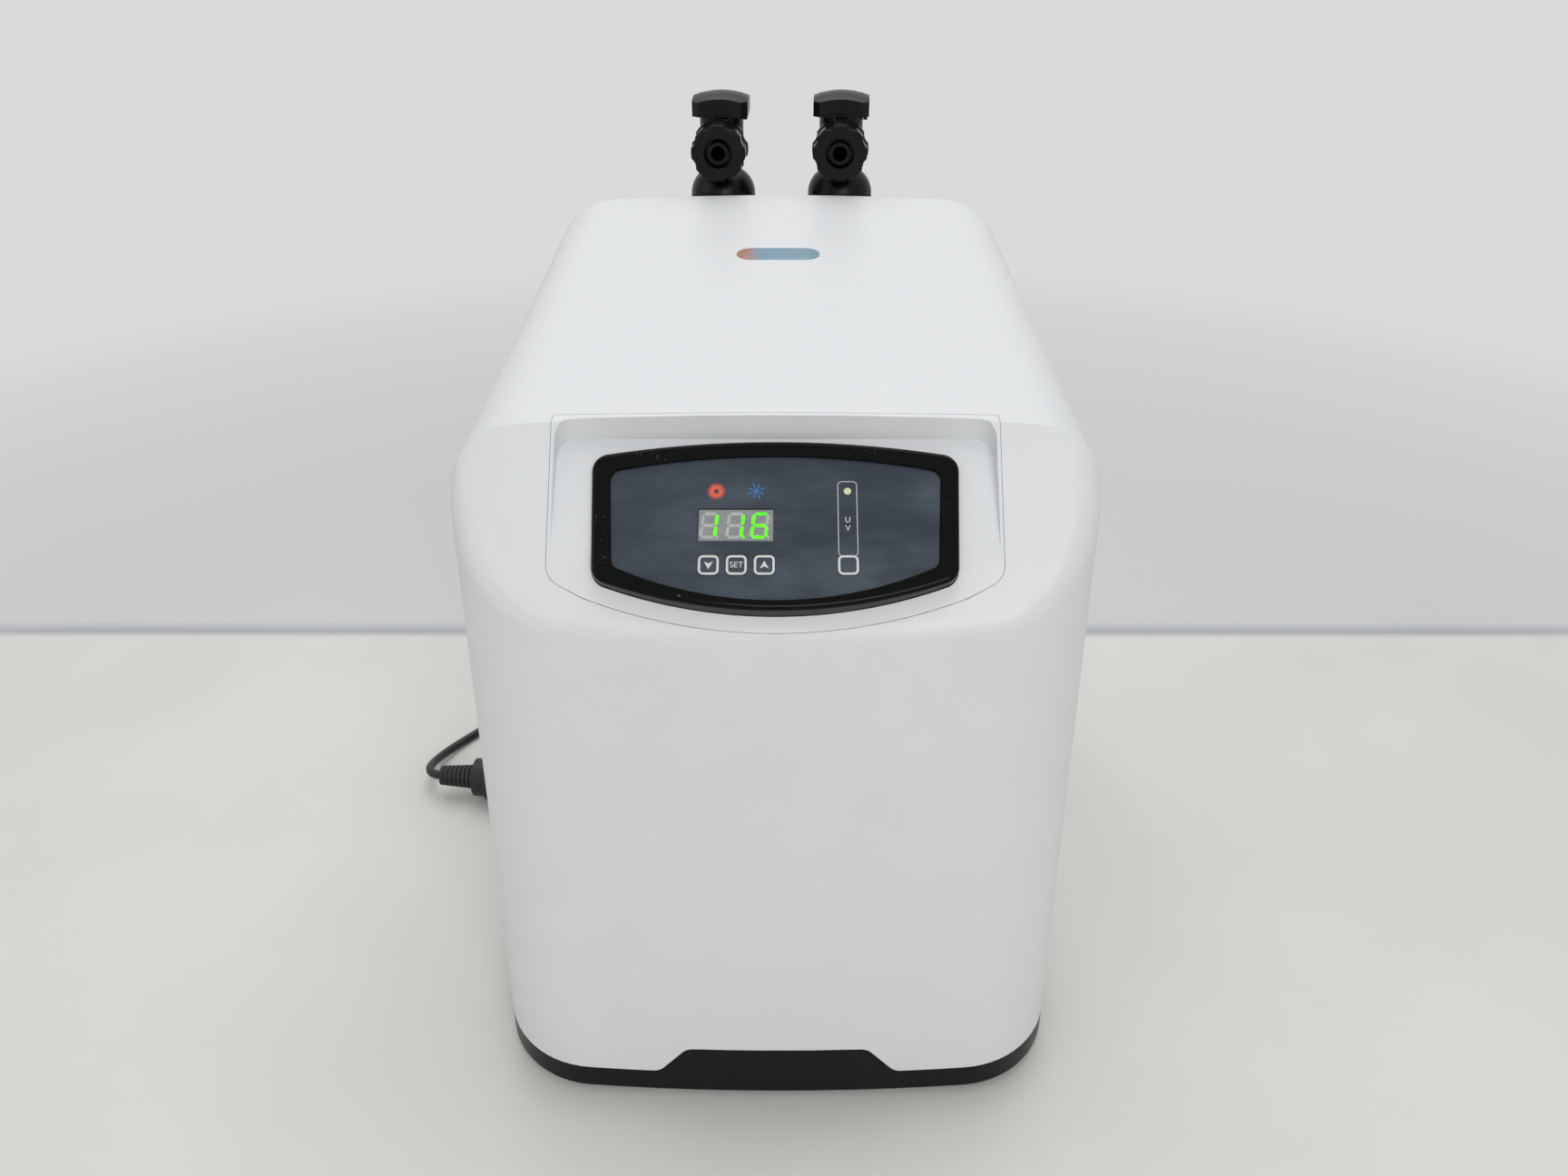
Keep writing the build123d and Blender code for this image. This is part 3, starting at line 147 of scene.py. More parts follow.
def roundedSquare(x, down, width, height, corner, count=12):
    # four quarter circles joined by straight sides
    angles = np.linspace(0, np.pi / 2, count)
    lines = []
    for turn, (a, b) in enumerate([(1, 1), (-1, 1), (-1, -1), (1, -1)]):
        middle = np.array([x + a * (width / 2 - corner), down + b * (height / 2 - corner)])
        around = angles + turn * np.pi / 2
        lines.append(middle + corner * np.stack([np.cos(around), np.sin(around)], axis=1))
    return np.concatenate(lines)


def squareRing(x, down, width, height, corner, stroke, lift):
    # a rounded square's printed rim, as wide as the stroke
    outer = roundedSquare(x, down, width, height, corner)
    inner = roundedSquare(x, down, width - 2 * stroke, height - 2 * stroke, corner - stroke)
    return printRing(outer, inner, lift)


def bar(start, end, width, count=7):
    # a straight stroke with round ends: half a circle round its end, then half a circle round its start
    heading = math.atan2(*(end - start)[::-1])
    around = heading + np.linspace(-np.pi / 2, np.pi / 2, count)
    tip = width / 2 * np.stack([np.cos(around), np.sin(around)], axis=1)
    return np.concatenate([end + tip, start - tip])


# Materials

seeded = {"noise_dimensions": "4D"}  # a noise whose W picks one pattern of many
colourA, colourB, colourResult = 6, 7, 2  # a Mix node's sockets for colours, by number


def linear(colour):
    # "#rrggbb" in sRGB -> linear red, green, blue and 1
    parts = [int(colour[place : place + 2], 16) / 255 for place in (1, 3, 5)]
    return [v / 12.92 if v <= 0.04045 else ((v + 0.055) / 1.055) ** 2.4 for v in parts] + [1.0]


def tones(first, second):
    # what a Mix node needs to mix two colours
    return {"data_type": "RGBA", colourA: linear(first), colourB: linear(second)}


def feed(tree, node, links):
    # the outputs that some of a node's sockets read
    for name, source in links.items():
        tree.links.new(source, node.inputs[name])


def addNode(tree, kind, settings=None, links=None, output=0):
    # one node: settings are its own values or its sockets', links are the outputs that its sockets read;
    # it gives back one of the node's outputs, or the node itself where output is None
    node = tree.nodes.new(kind)
    for name, value in (settings or {}).items():
        if isinstance(name, str) and hasattr(node, name):
            setattr(node, name, value)
        else:
            node.inputs[name].default_value = value
    feed(tree, node, links or {})
    return node if output is None else node.outputs[output]


shaderSockets = {
    "roughness": "Roughness",
    "metallic": "Metallic",
    "specular": "Specular IOR Level",
    "coat": "Coat Weight",
    "coatRoughness": "Coat Roughness",
}


def newMaterial(name, look):
    # a Principled shader with the values that are the same all over, and the place that patterns read
    material = bpy.data.materials.new(name)
    material.use_nodes = True
    tree = material.node_tree
    shader = tree.nodes["Principled BSDF"]
    shader.inputs["Base Color"].default_value = linear(look["colour"])
    for value, socket in shaderSockets.items():
        if value in look:
            shader.inputs[socket].default_value = look[value]
    return material, tree, shader, addNode(tree, "ShaderNodeTexCoord", output="Object")


speckLook = {
    "core": 0.6,  # of a speck's radius, inside which it is at its full strength
    "kept": {"From Min": 0.72, "From Max": 0.76},  # of the cells' own random values, those that show a speck
}


def specks(tree, place, look):
    # sparse round specks: the distance to the nearest cell's middle under a small size, in a few cells only
    cells = addNode(tree, "ShaderNodeTexVoronoi", look["cells"], {"Vector": place}, None)
    reach = {"From Min": look["size"], "From Max": look["size"] * speckLook["core"]}
    near = addNode(tree, "ShaderNodeMapRange", reach, {"Value": cells.outputs["Distance"]})
    pick = addNode(tree, "ShaderNodeSeparateColor", None, {"Color": cells.outputs["Color"]}, "Red")
    kept = addNode(tree, "ShaderNodeMapRange", speckLook["kept"], {"Value": pick})
    return addNode(tree, "ShaderNodeMath", {"operation": "MULTIPLY"}, {0: near, 1: kept})


def mottle(tree, shader, place, look):
    # two tones in soft patches, and a roughness that follows them where the look gives its range
    patches = addNode(tree, "ShaderNodeTexNoise", look["patches"], {"Vector": place})
    share = addNode(tree, "ShaderNodeMapRange", look["share"], {"Value": patches})
    pair = tones(look["colour"], look["second"])
    tone = addNode(tree, "ShaderNodeMix", pair, {"Factor": share}, colourResult)
    feed(tree, shader, {"Base Color": tone})
    if "roughnessRange" in look:
        roughness = addNode(tree, "ShaderNodeMapRange", look["roughnessRange"], {"Value": patches})
        feed(tree, shader, {"Roughness": roughness})
    return tone


hoodLook = {
    "colour": "#E6E8EA",
    "second": "#E3E5E7",
    "patches": {**seeded, "Scale": metre / 34, "Detail": 4, "W": 7},
    "share": {"From Min": 0.3, "From Max": 0.8},
    "roughnessRange": {"From Min": 0.3, "From Max": 0.8, "To Min": 0.35, "To Max": 0.41},
    "dirt": "#8B8680",
    "dirtShare": 0.55,
    "specks": {"cells": {"voronoi_dimensions": "4D", "Scale": metre / 46, "W": 2}, "size": 0.022},
    "grain": {**seeded, "Scale": metre / 1.3, "Detail": 2},  # the mould's sparks, as coarse as they show
    "grainShare": 0.05,  # of the grain in the bump, beside the waves
    "waves": {**seeded, "Scale": metre / 60, "Detail": 1, "W": 3},  # the slow unevenness of a moulded wall
    "bump": {"Strength": 0.14, "Distance": 0.5 / metre},
}


def hoodPlastic():
    # injection-moulded ABS, satin white: soft highlights over a faint grain, a slow sink in the walls
    look = hoodLook
    material, tree, shader, place = newMaterial("hoodPlastic", look)
    tone = mottle(tree, shader, place, look)
    marks = specks(tree, place, look["specks"])
    dirt = addNode(tree, "ShaderNodeMath", {"operation": "MULTIPLY", 1: look["dirtShare"]}, {0: marks})
    over = {"data_type": "RGBA", colourB: linear(look["dirt"])}
    dirty = addNode(tree, "ShaderNodeMix", over, {"Factor": dirt, colourA: tone}, colourResult)
    grain = addNode(tree, "ShaderNodeTexNoise", look["grain"], {"Vector": place})
    waves = addNode(tree, "ShaderNodeTexNoise", look["waves"], {"Vector": place})
    fine = addNode(tree, "ShaderNodeMath", {"operation": "MULTIPLY", 1: look["grainShare"]}, {0: grain})
    height = addNode(tree, "ShaderNodeMath", {"operation": "ADD"}, {0: fine, 1: waves})
    bump = addNode(tree, "ShaderNodeBump", look["bump"], {"Height": height})
    feed(tree, shader, {"Base Color": dirty, "Normal": bump})
    return material


bezelLook = {
    "colour": "#050607",
    "worn": "#9A9D9F",
    "specular": 0.12,
    "rim": {"From Min": 0.505, "From Max": 0.54},  # from the flat to the edge, as Pointiness tells it
    "flecks": {**seeded, "Scale": metre / 1.3, "Detail": 3, "W": 5, "Roughness": 0.7},
    "fleckShare": {"From Min": 0.62, "From Max": 0.7},
    "patches": {**seeded, "Scale": metre / 40, "Detail": 2, "W": 8},
    "patchShare": {"From Min": 0.55, "From Max": 0.66},
    "paleness": 0.8,
    "roughnessRange": {"From Min": 0, "From Max": 1, "To Min": 0.12, "To Max": 0.5},
    "flow": {**seeded, "Scale": metre / 9, "Detail": 2, "W": 4},  # the gloss's own faint waves
    "bump": {"Strength": 0.4, "Distance": 0.05 / metre},
}


def bezelGloss():
    # gloss-polished black ABS: sharp reflections, and a rim that is scuffed pale in flecks
    look = bezelLook
    material, tree, shader, place = newMaterial("bezelGloss", look)
    edge = addNode(tree, "ShaderNodeNewGeometry", output="Pointiness")
    rim = addNode(tree, "ShaderNodeMapRange", look["rim"], {"Value": edge})
    flecks = addNode(tree, "ShaderNodeTexNoise", look["flecks"], {"Vector": place})
    fleckShare = addNode(tree, "ShaderNodeMapRange", look["fleckShare"], {"Value": flecks})
    patches = addNode(tree, "ShaderNodeTexNoise", look["patches"], {"Vector": place})
    patchShare = addNode(tree, "ShaderNodeMapRange", look["patchShare"], {"Value": patches})
    worn = addNode(tree, "ShaderNodeMath", {"operation": "MULTIPLY"}, {0: rim, 1: fleckShare})
    wear = addNode(tree, "ShaderNodeMath", {"operation": "MULTIPLY"}, {0: worn, 1: patchShare})
    pale = addNode(tree, "ShaderNodeMath", {"operation": "MULTIPLY", 1: look["paleness"]}, {0: wear})
    pair = tones(look["colour"], look["worn"])
    tone = addNode(tree, "ShaderNodeMix", pair, {"Factor": pale}, colourResult)
    roughness = addNode(tree, "ShaderNodeMapRange", look["roughnessRange"], {"Value": wear})
    flow = addNode(tree, "ShaderNodeTexNoise", look["flow"], {"Vector": place})
    bump = addNode(tree, "ShaderNodeBump", look["bump"], {"Height": flow})
    feed(tree, shader, {"Base Color": tone, "Roughness": roughness, "Normal": bump})
    return material


windowLook = {
    "colour": "#2F3842",
    "smeared": "#56616D",
    "dust": "#8C949C",
    "specular": 0.35,
    "run": {"Rotation": (0, 0, 0.35), "Scale": (1, 3.2, 3.2)},  # smears lie askew, longer than they are wide
    "smears": {**seeded, "Scale": metre / 60, "Detail": 6, "W": 2, "Roughness": 0.62},
    "smearShare": {"From Min": 0.38, "From Max": 0.72},
    "haze": {**seeded, "Scale": metre / 55, "Detail": 2, "W": 6},
    "hazeShare": {"From Min": 0.3, "From Max": 0.7},
    "roughnessRange": {"From Min": 0, "From Max": 1, "To Min": 0.22, "To Max": 0.5},
    "specks": {"cells": {"voronoi_dimensions": "4D", "Scale": metre / 2.6, "W": 1}, "size": 0.085},
    "dustShare": {"From Min": 0.42, "From Max": 0.6, "To Min": 0, "To Max": 0.5},
    "bump": {"Strength": 0.3, "Distance": 0.03 / metre},
}


def windowFilm():
    # a printed polyester film, dark slate: wiped smears run across it, and dust lies where it is hazy
    look = windowLook
    material, tree, shader, place = newMaterial("windowFilm", look)
    run = addNode(tree, "ShaderNodeMapping", look["run"], {"Vector": place})
    smears = addNode(tree, "ShaderNodeTexNoise", look["smears"], {"Vector": run})
    smearShare = addNode(tree, "ShaderNodeMapRange", look["smearShare"], {"Value": smears})
    haze = addNode(tree, "ShaderNodeTexNoise", look["haze"], {"Vector": place})
    hazeShare = addNode(tree, "ShaderNodeMapRange", look["hazeShare"], {"Value": haze})
    share = addNode(tree, "ShaderNodeMath", {"operation": "MULTIPLY"}, {0: smearShare, 1: hazeShare})
    pair = tones(look["colour"], look["smeared"])
    tone = addNode(tree, "ShaderNodeMix", pair, {"Factor": share}, colourResult)
    marks = specks(tree, place, look["specks"])
    lies = addNode(tree, "ShaderNodeMapRange", look["dustShare"], {"Value": haze})
    dust = addNode(tree, "ShaderNodeMath", {"operation": "MULTIPLY"}, {0: marks, 1: lies})
    over = {"data_type": "RGBA", colourB: linear(look["dust"])}
    dusty = addNode(tree, "ShaderNodeMix", over, {"Factor": dust, colourA: tone}, colourResult)
    roughness = addNode(tree, "ShaderNodeMapRange", look["roughnessRange"], {"Value": share})
    bump = addNode(tree, "ShaderNodeBump", look["bump"], {"Height": smears})
    feed(tree, shader, {"Base Color": dusty, "Roughness": roughness, "Normal": bump})
    return material


ledLook = {
    "colour": "#7E8283",
    "second": "#A3A6A6",
    "roughness": 0.5,
    "grain": {**seeded, "Scale": metre / 0.8, "Detail": 2},
    "grainShare": {"From Min": 0.3, "From Max": 0.7},
    "cloud": {**seeded, "Scale": metre / 6, "Detail": 2, "W": 4},
    "cloudShare": {"From Min": 0.2, "From Max": 0.8},
    "bump": {"Strength": 0.4, "Distance": 0.04 / metre},
}


def ledFace():
    # the module's frosted face, milky grey with a grain of the diffuser
    look = ledLook
    material, tree, shader, place = newMaterial("ledFace", look)
    grain = addNode(tree, "ShaderNodeTexNoise", look["grain"], {"Vector": place})
    cloud = addNode(tree, "ShaderNodeTexNoise", look["cloud"], {"Vector": place})
    grainShare = addNode(tree, "ShaderNodeMapRange", look["grainShare"], {"Value": grain})
    cloudShare = addNode(tree, "ShaderNodeMapRange", look["cloudShare"], {"Value": cloud})
    share = addNode(tree, "ShaderNodeMath", {"operation": "MULTIPLY"}, {0: grainShare, 1: cloudShare})
    pair = tones(look["colour"], look["second"])
    tone = addNode(tree, "ShaderNodeMix", pair, {"Factor": share}, colourResult)
    bump = addNode(tree, "ShaderNodeBump", look["bump"], {"Height": grain})
    feed(tree, shader, {"Base Color": tone, "Normal": bump})
    return material


badgeLook = {
    "colour": "#5E8FA9",
    "second": "#7297A6",
    "warm": "#B9745C",
    "roughness": 0.3,
    "metallic": 0.35,
    "coat": 0.5,
    "coatRoughness": 0.1,
    "cloud": {**seeded, "Scale": metre / 12, "Detail": 3, "W": 1},
    "waver": 0.012,  # metres by which the clouds shift the tones along the badge
    "warmRun": {"From Min": -0.011, "From Max": -0.024},  # metres from the badge's middle
    "coolRun": {"From Min": -0.01, "From Max": 0.028},
}


def badgeFilm():
    # a domed resin badge over metallised film: blue-grey, and warm at its left end
    look = badgeLook
    material, tree, shader, place = newMaterial("badgeFilm", look)
    across = addNode(tree, "ShaderNodeSeparateXYZ", None, {"Vector": place}, "X")
    cloud = addNode(tree, "ShaderNodeTexNoise", look["cloud"], {"Vector": place})
    centred = addNode(tree, "ShaderNodeMath", {"operation": "SUBTRACT", 1: 0.5}, {0: cloud})
    shift = addNode(tree, "ShaderNodeMath", {"operation": "MULTIPLY", 1: look["waver"]}, {0: centred})
    along = addNode(tree, "ShaderNodeMath", {"operation": "ADD"}, {0: across, 1: shift})
    coolShare = addNode(tree, "ShaderNodeMapRange", look["coolRun"], {"Value": along})
    warmShare = addNode(tree, "ShaderNodeMapRange", look["warmRun"], {"Value": along})
    pair = tones(look["colour"], look["second"])
    cool = addNode(tree, "ShaderNodeMix", pair, {"Factor": coolShare}, colourResult)
    over = {"data_type": "RGBA", colourB: linear(look["warm"])}
    tone = addNode(tree, "ShaderNodeMix", over, {"Factor": warmShare, colourA: cool}, colourResult)
    feed(tree, shader, {"Base Color": tone})
    return material


zincLook = {
    "colour": "#9A9D9F",
    "second": "#BDC0C1",
    "metallic": 1.0,
    "crystals": {"Scale": 110},  # along a metre, so about 9 mm each
    "roughnessRange": {"From Min": 0, "From Max": 1, "To Min": 0.3, "To Max": 0.48},
}


def zincSheet():
    # hot-dip galvanised sheet: flat crystals of slightly different grey
    look = zincLook
    material, tree, shader, place = newMaterial("zincSheet", look)
    crystals = addNode(tree, "ShaderNodeTexVoronoi", look["crystals"], {"Vector": place}, "Color")
    pick = addNode(tree, "ShaderNodeSeparateColor", None, {"Color": crystals}, "Red")
    pair = tones(look["colour"], look["second"])
    tone = addNode(tree, "ShaderNodeMix", pair, {"Factor": pick}, colourResult)
    roughness = addNode(tree, "ShaderNodeMapRange", look["roughnessRange"], {"Value": pick})
    feed(tree, shader, {"Base Color": tone, "Roughness": roughness})
    return material


foamLooks = {
    # closed-cell rubber insulation: matt black with fine cells
    "closedFoam": {
        "colour": "#141414",
        "second": "#242424",
        "roughness": 0.85,
        "cells": {"Scale": metre / 2},
        "share": {"From Min": 0.1, "From Max": 0.6},
        "bump": {"Strength": 0.6, "Distance": 0.3 / metre},
    },
    # open reticulated foam: dark grey threads round black cells
    "filterFoam": {
        "colour": "#3A3B3C",
        "second": "#0C0C0C",
        "roughness": 0.9,
        "cells": {"feature": "DISTANCE_TO_EDGE", "Scale": 420},  # along a metre, so about 2.4 mm each
        "share": {"From Min": 0, "From Max": 0.25},
        "bump": {"Strength": 0.8, "Distance": 0.6 / metre},
    },
}


def foam(name):
    look = foamLooks[name]
    material, tree, shader, place = newMaterial(name, look)
    cells = addNode(tree, "ShaderNodeTexVoronoi", look["cells"], {"Vector": place}, "Distance")
    share = addNode(tree, "ShaderNodeMapRange", look["share"], {"Value": cells})
    pair = tones(look["colour"], look["second"])
    tone = addNode(tree, "ShaderNodeMix", pair, {"Factor": share}, colourResult)
    bump = addNode(tree, "ShaderNodeBump", look["bump"], {"Height": cells})
    feed(tree, shader, {"Base Color": tone, "Normal": bump})
    return material


boardLook = {
    "colour": "#14502C",
    "second": "#2A7A46",
    "roughness": 0.35,
    "tracks": {"Scale": 60, "Mortar Size": 0.06},
}


def circuitBoard():
    # green solder mask over copper tracks, drawn as a faint brick of runs
    look = boardLook
    material, tree, shader, place = newMaterial("circuitBoard", look)
    tracks = addNode(tree, "ShaderNodeTexBrick", look["tracks"], {"Vector": place}, "Fac")
    pair = tones(look["colour"], look["second"])
    feed(tree, shader, {"Base Color": addNode(tree, "ShaderNodeMix", pair, {"Factor": tracks}, colourResult)})
    return material


# what the moulded plastics, the inks and the digits' light pipes share
moulded = {
    "patches": {**seeded, "Scale": metre / 18, "Detail": 4, "W": 1.5},
    "share": {"From Min": 0.3, "From Max": 0.75},
    "bump": {"Strength": 0.6, "Distance": 0.08 / metre},
}
ink = {
    "roughness": 0.5,
    "patches": {**seeded, "Scale": metre / 1.4, "Detail": 3, "W": 2},
    "share": {"From Min": 0.3, "From Max": 0.7},
}
lightPipe = {
    "roughness": 0.45,
    "patches": {**seeded, "Scale": metre / 2.5, "Detail": 2, "W": 3},
    "share": {"From Min": 0.3, "From Max": 0.75},
}

plainLooks = {
    # ABS moulded blue-black: a soft sheen that varies along its rounded edge
    "trayPlastic": {
        "colour": "#05080B",
        "second": "#0B1015",
        "specular": 0.18,
        "patches": {**seeded, "Scale": metre / 22, "Detail": 4, "W": 1},
        "share": {"From Min": 0.3, "From Max": 0.8},
        "roughnessRange": {"From Min": 0.3, "From Max": 0.8, "To Min": 0.28, "To Max": 0.42},
        "grain": {**seeded, "Scale": metre / 1.1, "Detail": 2},
        "bump": {"Strength": 0.5, "Distance": 0.05 / metre},
    },
    # glass-filled polypropylene moulded black, rubbed smooth in places
    "tapPlastic": {
        "colour": "#040608",
        "second": "#0B0F14",
        "specular": 0.18,
        "patches": {**seeded, "Scale": metre / 7, "Detail": 3, "W": 2},
        "share": {"From Min": 0.3, "From Max": 0.8},
        "roughnessRange": {"From Min": 0.25, "From Max": 0.8, "To Min": 0.22, "To Max": 0.42},
        "grain": {**seeded, "Scale": metre / 0.9, "Detail": 2, "W": 5},
        "bump": {"Strength": 0.5, "Distance": 0.05 / metre},
    },
    # moulded rubber, dull and coarse
    "rubberBlack": {
        **moulded,
        "colour": "#151515",
        "second": "#212121",
        "roughnessRange": {"From Min": 0.3, "From Max": 0.8, "To Min": 0.7, "To Max": 0.85},
        "grain": {**seeded, "Scale": metre / 2, "Detail": 2, "W": 2},
    },
    # spark-eroded black ABS
    "panelBlack": {
        **moulded,
        "colour": "#141516",
        "second": "#202224",
        "roughnessRange": {"From Min": 0.3, "From Max": 0.8, "To Min": 0.5, "To Max": 0.65},
        "grain": {**seeded, "Scale": metre / 1.6, "Detail": 2, "W": 2},
    },
    # enamelled steel, with the slow skin of dipped enamel
    "steelBlack": {
        **moulded,
        "colour": "#0F1011",
        "second": "#1B1C1D",
        "roughnessRange": {"From Min": 0.3, "From Max": 0.8, "To Min": 0.25, "To Max": 0.4},
        "grain": {**seeded, "Scale": metre / 5, "Detail": 2, "W": 2},
    },
    # extruded grey PVC hose
    "hoseGrey": {
        **moulded,
        "colour": "#4A4B4D",
        "second": "#595A5C",
        "roughnessRange": {"From Min": 0.3, "From Max": 0.8, "To Min": 0.4, "To Max": 0.55},
        "grain": {**seeded, "Scale": metre / 2.2, "Detail": 2, "W": 2},
    },
    # drawn copper, tarnished darker in patches
    "copperTube": {
        "colour": "#C98261",
        "second": "#8A4E36",
        "metallic": 1.0,
        "patches": {**seeded, "Scale": metre / 14, "Detail": 4, "W": 1},
        "share": {"From Min": 0.4, "From Max": 0.7},
        "roughnessRange": {"From Min": 0.3, "From Max": 0.7, "To Min": 0.24, "To Max": 0.5},
    },
    # thin rolled aluminium fins under a film of dust
    "finStock": {
        "colour": "#C6C9CB",
        "second": "#9C9B97",
        "metallic": 1.0,
        "patches": {**seeded, "Scale": metre / 30, "Detail": 4, "W": 1},
        "share": {"From Min": 0.45, "From Max": 0.7},
        "roughnessRange": {"From Min": 0.4, "From Max": 0.7, "To Min": 0.32, "To Max": 0.6},
    },
    # PVC sheath, satin black, dusty in patches
    "cordSheath": {
        "colour": "#0A0B0D",
        "second": "#1D1F21",
        "patches": {**seeded, "Scale": metre / 10, "Detail": 4, "W": 1},
        "share": {"From Min": 0.45, "From Max": 0.8},
        "roughnessRange": {"From Min": 0.3, "From Max": 0.8, "To Min": 0.36, "To Max": 0.52},
        "grain": {**seeded, "Scale": metre / 1.5, "Detail": 2, "W": 1},
        "bump": {"Strength": 0.5, "Distance": 0.04 / metre},
    },
    # screen-printed inks, opaque, a little uneven in density
    "whiteInk": {**ink, "colour": "#E2E2E0", "second": "#CFCFCD"},
    "redInk": {**ink, "colour": "#E9654B", "second": "#D9523A"},
    "blueInk": {**ink, "colour": "#3D7FC4", "second": "#2F6BAE"},
    "lampInk": {**ink, "colour": "#E6EBC8", "second": "#CDD6A6"},
    # moulded light pipes of the digits, lit and unlit
    "segmentLit": {**lightPipe, "colour": "#2FB400", "second": "#62F500", "glow": 1.1},
    "segmentDark": {**lightPipe, "colour": "#A9ACAC", "second": "#BDC0C0"},
}


def plainFinish(name):
    look = plainLooks[name]
    material, tree, shader, place = newMaterial(name, look)
    tone = mottle(tree, shader, place, look)
    if "grain" in look:
        grain = addNode(tree, "ShaderNodeTexNoise", look["grain"], {"Vector": place})
        feed(tree, shader, {"Normal": addNode(tree, "ShaderNodeBump", look["bump"], {"Height": grain})})
    if "glow" in look:
        feed(tree, shader, {"Emission Color": tone})
        shader.inputs["Emission Strength"].default_value = look["glow"]
    return material


finishes = {
    "hood_white": hoodPlastic(),
    "tray_black": plainFinish("trayPlastic"),
    "bezel_black": bezelGloss(),
    "window_slate": windowFilm(),
    "led_grey": ledFace(),
    "badge_blue": badgeFilm(),
    "rubber_black": plainFinish("rubberBlack"),
    "panel_black": plainFinish("panelBlack"),
    "tap_black": plainFinish("tapPlastic"),
    "board_green": circuitBoard(),
    "steel_zinc": zincSheet(),
    "steel_black": plainFinish("steelBlack"),
    "aluminium_fin": plainFinish("finStock"),
    "copper_pipe": plainFinish("copperTube"),
    "foam_black": foam("closedFoam"),
    "filter_grey": foam("filterFoam"),
    "hose_grey": plainFinish("hoseGrey"),
    "cord_black": plainFinish("cordSheath"),
}
whiteInk = plainFinish("whiteInk")
redInk = plainFinish("redInk")
blueInk = plainFinish("blueInk")
lampInk = plainFinish("lampInk")
segmentLit = plainFinish("segmentLit")
segmentDark = plainFinish("segmentDark")
print("materials made:", len(bpy.data.materials))

# The CAD pieces: their mesh stays, and a modifier joins its loose triangles and smooths them by angle

shading = {
    "weld": 2e-6,  # metres between two corners that are one
    "sharpAngle": 24,  # degrees from which an edge stays sharp
}


def softShading():
    group = bpy.data.node_groups.new("softShading", "GeometryNodeTree")
    for way in ("INPUT", "OUTPUT"):
        group.interface.new_socket("Geometry", in_out=way, socket_type="NodeSocketGeometry")
    source = addNode(group, "NodeGroupInput")
    near = {"Distance": shading["weld"]}
    welded = addNode(group, "GeometryNodeMergeByDistance", near, {"Geometry": source})
    smooth = addNode(group, "GeometryNodeSetShadeSmooth", {"domain": "FACE"}, {"Geometry": welded})
    angle = addNode(group, "GeometryNodeInputMeshEdgeAngle", output="Unsigned Angle")
    over = {"operation": "GREATER_THAN", 1: math.radians(shading["sharpAngle"])}
    sharp = addNode(group, "FunctionNodeCompare", over, {0: angle})
    creased = {"domain": "EDGE", "Shade Smooth": False}
    split = addNode(group, "GeometryNodeSetShadeSmooth", creased, {"Geometry": smooth, "Selection": sharp})
    addNode(group, "NodeGroupOutput", None, {0: split}, None)
    return group


soft = softShading()
slots = {row["node"]: row["material_slot"] for row in frame["record"]["subparts"]}
for name, node in nodes.items():
    node.data.materials.clear()
    node.data.materials.append(finishes[slots[name]])
    node.modifiers.new("softShading", "NODES").node_group = soft
    node.modifiers.new("weighted", "WEIGHTED_NORMAL").keep_sharp = True
print("CAD pieces finished")

# The mains cord: one spline from the strain relief through the put-away coil to the plug

cordLook = {
    "diameter": 0.007,
    "length": 1.84,
    "exit": (-70, 520, 45),
    "tail": [(-70, 520, 45), (-70, 546, 45), (-71, 569, 29), (-73, 590, 10)],
    "lead": [
        (-165.5, 597, 4),
        (-166, 558, 3.5),
        (-172, 510, 3.5),
        (-190, 466, 3.5),
        (-218, 428, 3.5),
        (-248, 395, 3.5),
        (-272, 365, 3.5),
        (-287.5, 342, 5),
        (-294, 320, 10.5),
        (-294.5, 302, 16.5),
        (-288, 290.6, 18.5),
        (-280, 290, 18.5),
    ],
}
coilLook = {
    "middle": (-120, 615),
    "turns": 5.6,
    "startAngle": -14.8,
    "perTurn": 18,  # points in a turn
    "pitch": 7.1,  # how much the radius changes in a turn, a little more than the cord is thick
    "outerRadius": 47.0,  # where the lower layer starts
    "innerRadius": 31.3,  # while it climbs to the upper layer
    "upperRadius": 31.2,  # where the upper layer starts
    "climbTurns": (2.2, 2.55),
    "lowHeight": 3.6,
    "layer": 7.3,  # from the lower layer to the upper one
    "dropBefore": 0.34,  # turns before its end where it comes down again, over dropTurns
    "dropTurns": 0.3,
    "wideBefore": 0.42,  # turns before its end from where it runs outside the lower layer
    "wideRadius": 50.5,
    "landingTurns": 0.06,  # the first bit still comes down from the tail
    "landingHeight": 4.5,
}


def coilPoints():
    # a flat spiral in two layers: the radius shrinks by the pitch each turn, the cord climbs at its inside,
    # and the radius grows again
    look = coilLook
    climbStart, climbEnd = look["climbTurns"]
    turn = np.arange(1, int(look["turns"] * look["perTurn"])) / look["perTurn"]
    angle = np.radians(look["startAngle"]) + 2 * np.pi * turn
    inward = look["outerRadius"] - look["pitch"] * turn
    outward = look["upperRadius"] + look["pitch"] * (turn - climbEnd)
    radius = np.where(turn < climbStart, inward, np.where(turn < climbEnd, look["innerRadius"], outward))
    wide = turn > look["turns"] - look["wideBefore"]
    radius = np.where(wide, np.maximum(radius, look["wideRadius"]), radius)
    climb = np.clip((turn - climbStart) / (climbEnd - climbStart), 0, 1)
    drop = np.clip((turn - (look["turns"] - look["dropBefore"])) / look["dropTurns"], 0, 1)
    height = look["lowHeight"] + look["layer"] * (climb - drop)
    height = np.where(turn < look["landingTurns"], look["landingHeight"], height)
    x, y = look["middle"]
    return np.stack([x + radius * np.cos(angle), y + radius * np.sin(angle), height], axis=1)


